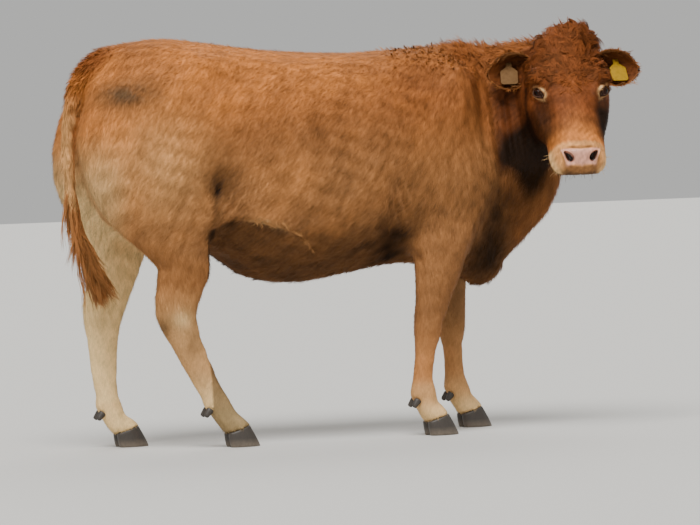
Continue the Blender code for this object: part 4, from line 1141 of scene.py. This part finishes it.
def dressed(skin):
    """The short coat, in pieces small enough to handle."""
    points, shares = skin["points"], skin["shares"]
    x = points[:, 0]
    u, v, _ = head_local(points).T
    trunk, foot = part(shares, "trunk"), part(shares, "foot")
    pieces = []

    def grow(name, weights, count, tubes, seed, **style):
        pieces.append(coat(name, skin, weights * skin["haired"], count, tubes, seed, rings=1, **style))

    for name, low, high, count, seed in (
        ("coat_rump", -2, -0.62, 34500, 1),
        ("coat_loin", -0.62, -0.22, 30500, 2),
        ("coat_ribs", -0.22, 0.14, 30500, 3),
        ("coat_shoulder", 0.14, 2, 33000, 4),
    ):
        grow(name, trunk * (x >= low) * (x < high), count,
             one_tube((0, SPINE_Y, 1.05), (1, 0, 0), (0, 0, -1)), seed, width=0.003, clump=16, rise=13)
    grow("coat_neck", part(shares, "neck"), 25000, one_tube((0.5, 0.05, 1.1), (0.6, -0.75, 0.1), (0, 0, -1)),
         5, width=0.003, rise=15, clump=16)
    for name, zone, count, seed, starts in (
        ("coat_hind_legs", part(shares, "thigh", "shank") + foot * (x < -0.2), 25000, 6,
         ((-0.64, -0.09, 0), (-0.87, 0.26, 0))),
        ("coat_fore_legs", part(shares, "arm", "shin") + foot * (x > -0.2), 18000, 7,
         ((0.25, -0.1, 0), (0.45, 0.26, 0))),
    ):
        grow(name, zone, count, leg_tubes(*starts), seed, rise=11, clump=9, soft=0.85,
             width=lambda h: 0.002 + 0.0009 * ramp(h["points"][:, 2], 0.3, 0.7),
             length=lambda h: mixed(h["shares"], COAT_LENGTH) + 0.007 * ramp(h["points"][:, 2], 0.11, 0.07))
    # finest on the nose, the forehead and round the eyes
    fine = 1 + 1.4 * ramp(u, 0.4, 0.5) + 1.0 * ramp(v, -0.1, -0.02) + 1.5 * by_eyes(points, 0.04)
    grow("coat_face", part(shares, "head") * fine, 34000, face_tube(0.2), 8, rise=13, clump=9, sunk=0.0008,
         length=lambda h: (0.0125 - 0.0065 * ramp(h["local"][:, 0], 0.38, 0.5)
                           + 0.008 * ramp(h["local"][:, 0], 0.2, 0.05) - 0.007 * by_eyes(h["points"], 0.035)),
         width=lambda h: 0.0019 - 0.0009 * ramp(h["local"][:, 0], 0.38, 0.5))
    return pieces


def long_hair(skin):
    """Curls of the crown, crest and tail head, the switch, fringes, ears and whiskers."""
    points, normals, shares, facts = skin["points"], skin["normals"], skin["shares"], skin["facts"]
    x, y, z = points.T
    u, v, w = head_local(points).T
    upward = normals[:, 2]
    head, neck, trunk, tail, switch, ear = (
        part(shares, name) for name in ("head", "neck", "trunk", "tail", "switch", "ear"))
    pieces = []

    def grow(name, weights, count, tubes, seed, **style):
        pieces.append(coat(name, skin, weights * skin["haired"], count, tubes, seed, **style))

    def up_the_crown(here):
        u, _, w = here["local"].T
        top = ramp(u, 0.12, 0.0)[:, None]
        away = np.stack([np.full(len(u), -0.4), np.zeros(len(u)), 8 * (w - 0.01)], 1)
        return here["ways"] * (1 - top) + (away @ np.array(HEAD).T) * top

    def crown_length(here):
        u, _, w = here["local"].T
        return 0.046 + 0.008 * ramp(u, 0.12, -0.01) + 0.022 * ramp(w, 0.02, 0.08) * ramp(u, 0.12, 0.04)

    grow("curls_crown", head * ramp(u, 0.19, 0.12) * ramp(v, -0.1, -0.06) * (0.5 + 0.7 * ramp(u, 0.1, 0.02)),
         4500, face_tube(0.1), 11, strands=14, rings=5, length=crown_length, width=0.0023,
         rise=lambda h: 44 + 22 * ramp(h["local"][:, 2], 0.01, 0.07),
         fall=lambda h: -78 + 40 * ramp(h["local"][:, 2], 0.03, 0.09),
         turn=50, wave=30, clump=75, swirl=0.05, stray=11, way=up_the_crown, part=0.0062,
         soft=0.76, flat=0.5, loose=0.6, gather=0.9, uneven=0.75)
    grow("curls_forehead", head * ramp(u, 0.25, 0.2) * ramp(u, 0.09, 0.14) * ramp(v, -0.07, -0.03),
         4600, face_tube(0.1), 12, strands=10, rings=4, length=0.034, width=0.0018, rise=38, fall=-58,
         turn=52, wave=28, clump=70, swirl=0.042, stray=13, part=0.0042, soft=0.76, flat=0.46,
         loose=0.6, gather=0.88, uneven=0.6)
    grow("curls_whorl", head * bell(u - WHORL[0], 0.028) * bell(w, 0.03) * (v > -0.05),
         300, face_tube(0.1), 13, strands=5, rings=4, length=0.022, width=0.0019, rise=32, fall=-34,
         turn=50, clump=45, stray=34, part=0.0024, soft=0.55, uneven=0.5)
    nape = neck + head * ramp(u, 0.05, 0.0) + trunk * ramp(x, 0.1, 0.3)
    grow("crest", nape * ramp(upward, 0.35, 0.8) * ramp(z, 1.28, 1.36) * (x > 0.12),
         2300, one_tube((0.5, 0.05, 1.2), (0.8, -0.6, 0), (0, 0, -1)), 14, strands=4, rings=4,
         length=lambda h: 0.026 + 0.018 * ramp(h["points"][:, 0], 0.25, 0.5), width=0.0024, rise=52,
         fall=lambda h: -10 + 35 * h["rng"].uniform(size=h["count"]),
         turn=30, wave=12, clump=40, stray=20, part=0.0028, soft=0.5)
    grow("tail_head", (tail + trunk) * near(points, (-0.97, SPINE_Y, 1.36), (0.09, 0.045, 0.09)),
         1400, one_tube((-0.95, SPINE_Y, 1.3), (0.2, 0, 1), (0, 1, 0)), 15, strands=5, rings=3,
         length=0.03, width=0.002, rise=36, fall=8, turn=16, clump=18, stray=12, part=0.003, soft=0.6)
    grow("coat_tail", tail, 3900, one_tube((-1.01, SPINE_Y, 1.0), (0, 0, 1), (0, 1, 0)), 16,
         width=0.0026, length=0.034, rise=15, fall=-6, clump=8, stray=6)

    def down_the_switch(here):
        """Along the leaning middle of the switch, waving a little from side to side."""
        spots, step = here["points"], np.array([0, 0, 0.06])
        below, above = (tail_middles(points, switch > 0.5, rows) for rows in (spots - step, spots))
        run = np.concatenate((below - above, np.full((len(spots), 1), -step[2])), 1)
        return run + 0.008 * np.sin(2 * math.pi * spots[:, 2:] / 0.11) * np.array([1.0, 0.5, 0.0])

    grow("switch", switch + 0.35 * tail * ramp(z, 0.98, 0.9),
         2600, one_tube((-0.98, 0.05, 0.7), (0.1, 0, 1), (0, 1, 0)), 17, strands=13, rings=5,
         length=lambda h: np.clip((h["points"][:, 2] - 0.53) * 1.02, 0.03, 0.2),
         width=0.0024, rise=8, fall=-3, turn=6, wave=13, clump=7, stray=3, way=down_the_switch,
         part=0.0045, soft=0, flat=0.6, loose=0.35, gather=0.75, uneven=0.8,
         marks={"ginger": 0.35, "red": 0.25, "pale": 0.1, "dark": 0.12})
    edge = bell(below_fold(points) + 0.006, 0.009) * ramp(np.abs(y - SPINE_Y), 0.12, 0.2)
    flank = edge * (near(points, (-0.36, SPINE_Y, 0.79), (0.075, 0.5, 0.1))
                    + 1.2 * near(points, (-0.24, SPINE_Y, 0.715), (0.04, 0.5, 0.06)))
    grow("flank_fringe", flank * trunk, 560, one_tube((-0.36, SPINE_Y, 0.9), (1, 0, 0), (0, 0, -1)), 18,
         strands=5, rings=5, length=0.034, width=0.0018, rise=8, fall=-12, turn=22, wave=14, clump=16,
         part=0.003, soft=0.5, marks={"dark": 0.12, "pale": 0.2, "ginger": 0.3},
         way=lambda h: np.tile([0.55, 0.0, -0.8], (h["count"], 1)))
    brisket = ((neck + trunk) * near(points, (0.46, 0.06, 0.6), (0.16, 0.16, 0.12))
               + 0.5 * trunk * ramp(upward, -0.6, -0.95) * ramp(z, 0.7, 0.6))
    grow("underside_hair", brisket, 1500, one_tube((0, SPINE_Y, 0.95), (1, 0, 0), (0, 0, 1)), 19,
         strands=4, rings=4, length=0.034, width=0.0028, rise=22, fall=-4, turn=20, wave=10,
         clump=20, part=0.003, soft=0.5)
    grow("coat_ears", ear * np.where(facts["hollow"] > 0.5, 0.55, 1), 10500, ear_tubes, 20,
         rings=1, width=0.0018, length=0.015, rise=12, clump=12, sunk=0.0008)

    def off_the_rim(here):
        right = head_local(here["points"])[:, 2] < 0
        up = np.where(right[:, None], ear_axes(-1)[:, 1], ear_axes(1)[:, 1])
        return here["ways"] * 0.9 + 0.7 * up * here["facts"]["across"][:, None]

    grow("ear_fringe", ear * ramp(facts["rim"], 0.8, 0.95) * ramp(facts["out"], 0.08, 0.25),
         1700, ear_tubes, 21, strands=3, rings=4, width=0.0012, length=0.018, rise=12,
         fall=lambda h: 12 * h["rng"].normal(size=h["count"]),
         turn=16, wave=10, clump=14, stray=20, part=0.0018, soft=0.12, flat=0.6, way=off_the_rim,
         marks={"dark": 0.1, "pale": 0.03, "ginger": 0.5, "red": 0.3})
    grow("ear_inner_hair", ear * (facts["hollow"] > 0.5) * ramp(facts["out"], 0.95, 0.4),
         1600, ear_tubes, 22, strands=4, rings=4, width=0.0016, length=0.036, rise=48, fall=-8,
         turn=26, wave=12, clump=26, stray=26, part=0.0022, soft=0.5)
    # whiskers grow out of the bare lips too
    bare, inner = skin["masks"]["bare"], skin["masks"]["inner"]
    lips = head * ramp(u, 0.45, 0.5) * (1 - 0.7 * ramp(bare, 0.3, 0.8)) * (inner < 0.2)
    pieces.append(coat("whiskers", skin, lips * ramp(v, -0.06, -0.11), 110, face_tube(0.1), 23, rings=4,
                       length=lambda h: 0.032 - 0.016 * ramp(h["local"][:, 1], -0.1, -0.118),
                       width=0.0009, rise=55, fall=15, stray=30, soft=0.3, flat=0.5, sunk=0.001))
    return pieces


def lashes():
    """Upper and lower eyelashes, rooted in the edges of the lids."""
    roots, normals, ways, lengths = [], [], [], []
    rng = np.random.default_rng(50)
    for side in SIDES:
        _, look, corner, brow = eye_axes(side)
        for low, high, count, tallest in ((60, 172, 20, 0.02), (215, 300, 6, 0.006)):
            for angle in np.radians(np.linspace(low, high, count)):
                roots.append(lid_point(side, angle, eye_radius() + 0.0022, tall=1.05))
                normals.append(look)
                ways.append(brow * math.sin(angle) + 0.35 * corner * math.cos(angle))
                lengths.append(tallest * rng.uniform(0.75, 1.1) * (0.75 + 0.25 * math.sin(angle) ** 2))
    normals = unit(np.array(normals))
    many = len(roots)
    shape = {
        "length": np.array(lengths), "width": np.full(many, 0.0009), "rise": np.full(many, 58.0),
        "fall": 8 + 8 * rng.normal(size=many), "turn": 6 * rng.normal(size=many), "wave": np.zeros(many),
        "phase": np.zeros(many), "gather": np.zeros((many, 3)),
        "flat": 0.6, "rings": 4, "sunk": 0.0006, "soft": 0.3,
        "spot": np.stack([(np.arange(many) + 0.5) / many, np.full(many, 0.5)], 1),
    }
    marks = {name: np.full(many, {"pale": 0.2, "red": 0.6, "dark": 0.2}.get(name, 0.0)) for name in COLOUR_LAYERS}
    marks["tone"] = rng.uniform(-0.5, 0.5, many)
    return hair_mesh("lashes", np.array(roots), normals, flat_on(np.array(ways), normals), shape, marks)


# Eyes, claws and tags


def eyeball(side, name):
    """A ball with the clear bulge of the cornea; its pupil lies along the lids."""
    middle, look, corner, brow = eye_axes(side)
    ball = bmesh.new()
    bmesh.ops.create_uvsphere(ball, u_segments=64, v_segments=48, radius=1)
    mesh = settled(ball, bpy.data.meshes.new(name))
    points, _ = read_mesh(mesh)
    off_axis = np.degrees(np.arccos(np.clip(points[:, 2], -1, 1)))
    radius = eye_radius() - 0.0003 + 0.0011 * ramp(off_axis, 44, 20)
    write_points(mesh, points * radius[:, None] @ np.stack((corner, brow, look)) + middle)
    mesh.shade_smooth()
    give(mesh, "iris", np.sin(np.radians(np.minimum(off_axis, 90))))
    oval = np.hypot(points[:, 0] / 0.42, points[:, 1] / 0.24)
    give(mesh, "pupil", np.where(points[:, 2] > 0, oval, 9))
    give(mesh, "spoke", np.arctan2(points[:, 1], points[:, 0]))
    return show(name, mesh)


def tag_piece(node):
    """An ear tag with its edges eased."""
    made = clean_copy(node, 0)
    bmesh.ops.dissolve_limit(made, angle_limit=math.radians(1), verts=made.verts, edges=made.edges)
    thing = show(node + "_plate", settled(made, bpy.data.meshes.new("tag")))
    ease = thing.modifiers.new("ease", "BEVEL")
    ease.width, ease.segments, ease.limit_method = 0.0006, 2, "ANGLE"
    ease.angle_limit = math.radians(38)
    mesh = with_modifiers(thing)
    mesh.shade_smooth()
    mesh.set_sharp_from_angle(angle=math.radians(40))
    thing.modifiers.clear()
    thing.data = mesh
    return thing


def claw_piece(node):
    """A claw of horn: eased edges, narrowed where it enters the hair, a flat sole, and rings of
    growth round the wall. A dewclaw is a blunt cone, its root in the hair."""
    small = "dewclaw" in node
    mesh = melted(show("melting", settled(clean_copy(node, 0), bpy.data.meshes.new("melting"))), CLAW_GRAIN)
    mesh.shade_smooth()
    points, edges = read_mesh(mesh)
    low = points[:, 2].min()
    points = spread(relaxed(points, edges, 4), edges, len(points), 12 if small else 7)
    height = points[:, 2] - points[:, 2].min()
    if not small:
        points[:, 2] = low + height * 1.02
        middle = 0.5 * (points.min(0) + points.max(0))
        taper = 1 - 0.2 * (height / height.max()) ** 2
        points[:, :2] = middle[:2] + (points[:, :2] - middle[:2]) * taper[:, None]
    normals = read_normals(mesh)
    level = unit(normals * np.array([1, 1, 0.0]) + 1e-9)
    slope = height - 0.16 * (points[:, 0] - points[:, 0].min())
    rings = 0.0002 * np.sin(slope * 2 * math.pi / 0.0062) * ramp(height, 0.006, 0.016)
    points = points + rings[:, None] * level * (np.abs(normals[:, 2]) < 0.8)[:, None]
    if not small:
        points[height < 0.0022, 2] = low
    write_points(mesh, points)
    return show(node + "_horn", mesh)


# Materials


def linear(code):
    """An sRGB hex colour as the linear colour that the shader wants."""
    parts = [int(code[i : i + 2], 16) / 255 for i in (1, 3, 5)]
    return tuple(c / 12.92 if c <= 0.04045 else ((c + 0.055) / 1.055) ** 2.4 for c in parts) + (1.0,)


def feed(tree, made, inputs):
    """Sets a node's sockets: to another node's output, a colour written in hex, or a number."""
    for key, value in inputs.items():
        if isinstance(value, bpy.types.NodeSocket):
            tree.links.new(value, made.inputs[key])
        else:
            made.inputs[key].default_value = linear(value) if isinstance(value, str) else value


def add(tree, kind, inputs, out=0, **settings):
    """The output of a new node with those inputs and settings."""
    made = tree.nodes.new("ShaderNode" + kind)
    for key, value in settings.items():
        setattr(made, key, value)
    feed(tree, made, inputs)
    return made.outputs[out]


def attribute(tree, name):
    return add(tree, "Attribute", {}, "Fac", attribute_name=name)


def noise(tree, place, scale, detail, roughness=0.5):
    return add(tree, "TexNoise", {"Vector": place, "Scale": scale, "Detail": detail, "Roughness": roughness})


def mixed_colour(tree, share, first, second):
    return add(tree, "Mix", {0: share, 6: first, 7: second}, 2, data_type="RGBA")


def mapped(tree, value, low, high, start=0.0, end=1.0):
    """The value from start to end as a value from low to high."""
    return add(tree, "MapRange", {0: value, 1: start, 2: end, 3: low, 4: high})


def stretched(tree, place, tall):
    """Places squeezed in height, so that a pattern on them is drawn long."""
    return add(tree, "Mapping", {"Vector": place, "Scale": (1.0, 1.0, tall)})


def material(name):
    made = bpy.data.materials.new(name)
    made.use_nodes = True
    tree = made.node_tree
    return made, tree, tree.nodes["Principled BSDF"]


def places(tree):
    return add(tree, "TexCoord", {}, "Object")


def layered_colour(tree):
    """The animal's colour from its masks, painted shade among them: the same for the skin and for each tuft's
    root.
    """
    colour = CHESTNUT
    for name, code in COLOUR_LAYERS.items():
        colour = mixed_colour(tree, attribute(tree, name), colour, code)
    return colour


def toned(tree, shade):
    """The layered colour, lighter and darker by the tone of each tuft and by the shade."""
    value = add(tree, "Math", {0: attribute(tree, "tone"), 1: 0.4, 2: 1.0}, operation="MULTIPLY_ADD")
    value = add(tree, "Math", {0: value, 1: shade}, operation="MULTIPLY")
    return add(tree, "HueSaturation", {"Color": layered_colour(tree), "Value": value})


def coat_material():
    """Cattle hair, dry and lightly greased: satin, with a soft bloom towards the light and
    darker roots, so that the tufts read as hair and not as paint."""
    made, tree, shader = material("cattle_hair")
    feed(tree, shader, {
        "Base Color": toned(tree, mapped(tree, attribute(tree, "along"), 0.8, 1.12)),
        "Roughness": 0.55, "Specular IOR Level": 0.13, "Specular Tint": "#F2CFA0",
        "Sheen Weight": 0.03, "Sheen Roughness": 0.4, "Sheen Tint": "#E0A366",
    })
    return made


def skin_material():
    """Hide under short hair, and the bare leather of the muzzle: pebbled, pink and moist."""
    made, tree, shader = material("hide_and_nose_leather")
    place = places(tree)
    # hair ends too short to model: 3 mm streaks, drawn long down the animal
    hair = noise(tree, stretched(tree, place, 0.22), 330, 4, 0.6)
    blotch = noise(tree, place, 45, 5, 0.6)
    bare = attribute(tree, "bare")
    # the pad of the nose: pebbles of about 2.5 mm
    pebble = add(tree, "TexVoronoi", {"Vector": place, "Scale": 400.0}, feature="DISTANCE_TO_EDGE")
    bumped = add(tree, "Mix", {0: bare, 2: hair, 3: pebble}, data_type="FLOAT")
    whole = add(tree, "Mix", {0: 0.3, 2: bumped, 3: blotch}, data_type="FLOAT")
    feed(tree, shader, {
        "Base Color": toned(tree, mapped(tree, hair, 0.82, 1.1, 0.3, 0.7)),
        "Normal": add(tree, "Bump", {"Height": whole, "Strength": 0.55, "Distance": 0.0012}),
        "Roughness": mapped(tree, bare, 0.66, 0.34),
        "Specular IOR Level": mapped(tree, bare, 0.15, 0.5),
    })
    return made


def eye_material():
    """A wet eyeball: dark brown iris, a blue-black pupil lying level, and a clear bright front."""
    made, tree, shader = material("wet_eyeball")
    rays = add(tree, "TexNoise", {"W": attribute(tree, "spoke"), "Scale": 14.0, "Detail": 3},
               noise_dimensions="1D")
    brown = mixed_colour(tree, rays, "#1C0A04", "#331608")
    ball = mixed_colour(tree, mapped(tree, attribute(tree, "iris"), 0, 1, 0.72, 0.82), brown, "#4A3026")
    round_pupil = mapped(tree, attribute(tree, "pupil"), 0, 1, 0.9, 1.1)
    feed(tree, shader, {
        "Base Color": mixed_colour(tree, round_pupil, "#0B0707", ball),
        "Roughness": 0.06, "IOR": 1.34, "Specular IOR Level": 0.25,
    })
    return made


def horn_material():
    """Hoof horn, worn by soil: dark grey, satin, with fine upright grain and paler scuffs low down."""
    made, tree, shader = material("hoof_horn")
    place = places(tree)
    # horn tubules, drawn 1.5 mm apart
    grain = noise(tree, stretched(tree, place, 0.12), 620, 3)
    scuff = noise(tree, place, 60, 6, 0.7)
    low = mapped(tree, add(tree, "SeparateXYZ", {0: place}, 2), 0, 1, 0.03, 0.0)
    worn = add(tree, "Math", {0: low, 1: scuff}, operation="MULTIPLY")
    feed(tree, shader, {
        "Base Color": mixed_colour(tree, worn, mixed_colour(tree, grain, "#2B2724", "#4A423A"), "#8A7B69"),
        "Roughness": mapped(tree, scuff, 0.38, 0.62),
        "Normal": add(tree, "Bump", {"Height": grain, "Strength": 0.4, "Distance": 0.0006}),
    })
    return made


def tag_material(name, clean, worn):
    """Moulded polyurethane ear tag, supple: one colour all through, dulled and soiled by weather."""
    made, tree, shader = material(name)
    place = places(tree)
    soil = noise(tree, place, 70, 6, 0.65)
    fine = noise(tree, place, 900, 2)
    feed(tree, shader, {
        "Base Color": mixed_colour(tree, mapped(tree, soil, 0, 0.5, 0.45, 0.75), clean, worn),
        "Roughness": mapped(tree, soil, 0.6, 0.85), "Specular IOR Level": 0.12,
        "Normal": add(tree, "Bump", {"Height": fine, "Strength": 0.15, "Distance": 0.0003}),
    })
    return made


# Stage

CAMERA_TURN = math.radians(17)  # round from square on to the right side, towards the tail
CAMERA_DISTANCE, CAMERA_HEIGHT = 14.0, 0.95
CAMERA_ROLL = math.radians(2.2)
AIM = Vector((0.0077, 0.0847, 0.6304))
LENS = 198.72


def stage():
    """A pale floor, a soft bright sky over it, and lights like big windows."""
    mesh = bpy.data.meshes.new("floor")
    reach = 200
    corners = [(-reach, -reach, 0), (reach, -reach, 0), (reach, reach, 0), (-reach, reach, 0)]
    mesh.from_pydata(corners, [], [(0, 1, 2, 3)])
    floor = show("floor", mesh)
    floor.location.z = -0.0005  # just under the soles
    made, tree, shader = material("matt_floor_paint")
    feed(tree, shader, {"Base Color": "#C9C7C2", "Roughness": 0.85})
    floor.data.materials.append(made)
    world = bpy.data.worlds.new("studio")
    bpy.context.scene.world = world
    world.use_nodes = True
    feed(world.node_tree, world.node_tree.nodes["Background"], {"Color": "#F1F1EF", "Strength": 0.6})
    for name, towards, softness, power in (
        ("high_window", (-0.35, -0.75, 1.25), 35, 3.9),
        ("back_window", (0.3, 0.8, 0.9), 40, 0.8),
    ):
        light = bpy.data.lights.new(name, "SUN")
        light.energy, light.angle = power, math.radians(softness)
        lamp = show(name, light)
        lamp.rotation_mode = "QUATERNION"
        lamp.rotation_quaternion = Vector(towards).to_track_quat("Z", "Y")


def camera():
    lens = bpy.data.cameras.new("camera")
    lens.lens, lens.sensor_width, lens.clip_end = LENS, 36, 100
    thing = show("camera", lens)
    towards = Vector((-math.sin(CAMERA_TURN), -math.cos(CAMERA_TURN), 0))
    place = AIM + towards * CAMERA_DISTANCE
    place.z = CAMERA_HEIGHT
    look = (AIM - place).normalized()
    turn = Matrix.Rotation(CAMERA_ROLL, 3, look) @ look.to_track_quat("-Z", "Y").to_matrix()
    thing.location = place
    thing.rotation_mode = "QUATERNION"
    thing.rotation_quaternion = turn.to_quaternion()
    bpy.context.scene.camera = thing


def dress(thing, finish, slot, *nodes):
    """Gives a piece its material and body, and hides the nodes that it takes the place of. The slot is not
    used.
    """
    thing.data.materials.clear()
    thing.data.materials.append(finish)
    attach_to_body(thing, "root")
    if nodes:
        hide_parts(*nodes)


def main():
    camera()
    stage()
    hair, hide, wet, horn = coat_material(), skin_material(), eye_material(), horn_material()
    # the right tag's plastic is soiled, and darker brown still as painted shade
    plastic = {"left": tag_material("tag_plastic", "#A47F17", "#5E4718"),
               "right": tag_material("soiled_shaded_tag_plastic", "#6E5030", "#46301A")}
    skin = whole_skin()
    flesh = [node for nodes in FLESH.values() for node in nodes]
    dress(skin["object"], hide, "hide", *flesh, "ear_right", "ear_left")
    for piece in dressed(skin) + long_hair(skin) + [lashes()]:
        dress(piece, hair, "hide")
    for side, which in zip(SIDES, ("right", "left")):
        dress(eyeball(side, "eyeball_" + which), wet, "eye", "eye_" + which)
        dress(tag_piece("ear_tag_" + which), plastic[which], "tag", "ear_tag_" + which)
    for leg in ("fore_right", "fore_left", "hind_right", "hind_left"):
        for node in (f"{leg}_{kind}_{which}" for which in ("right", "left") for kind in ("claw", "dewclaw")):
            dress(claw_piece(node), horn, "horn", node)


main()
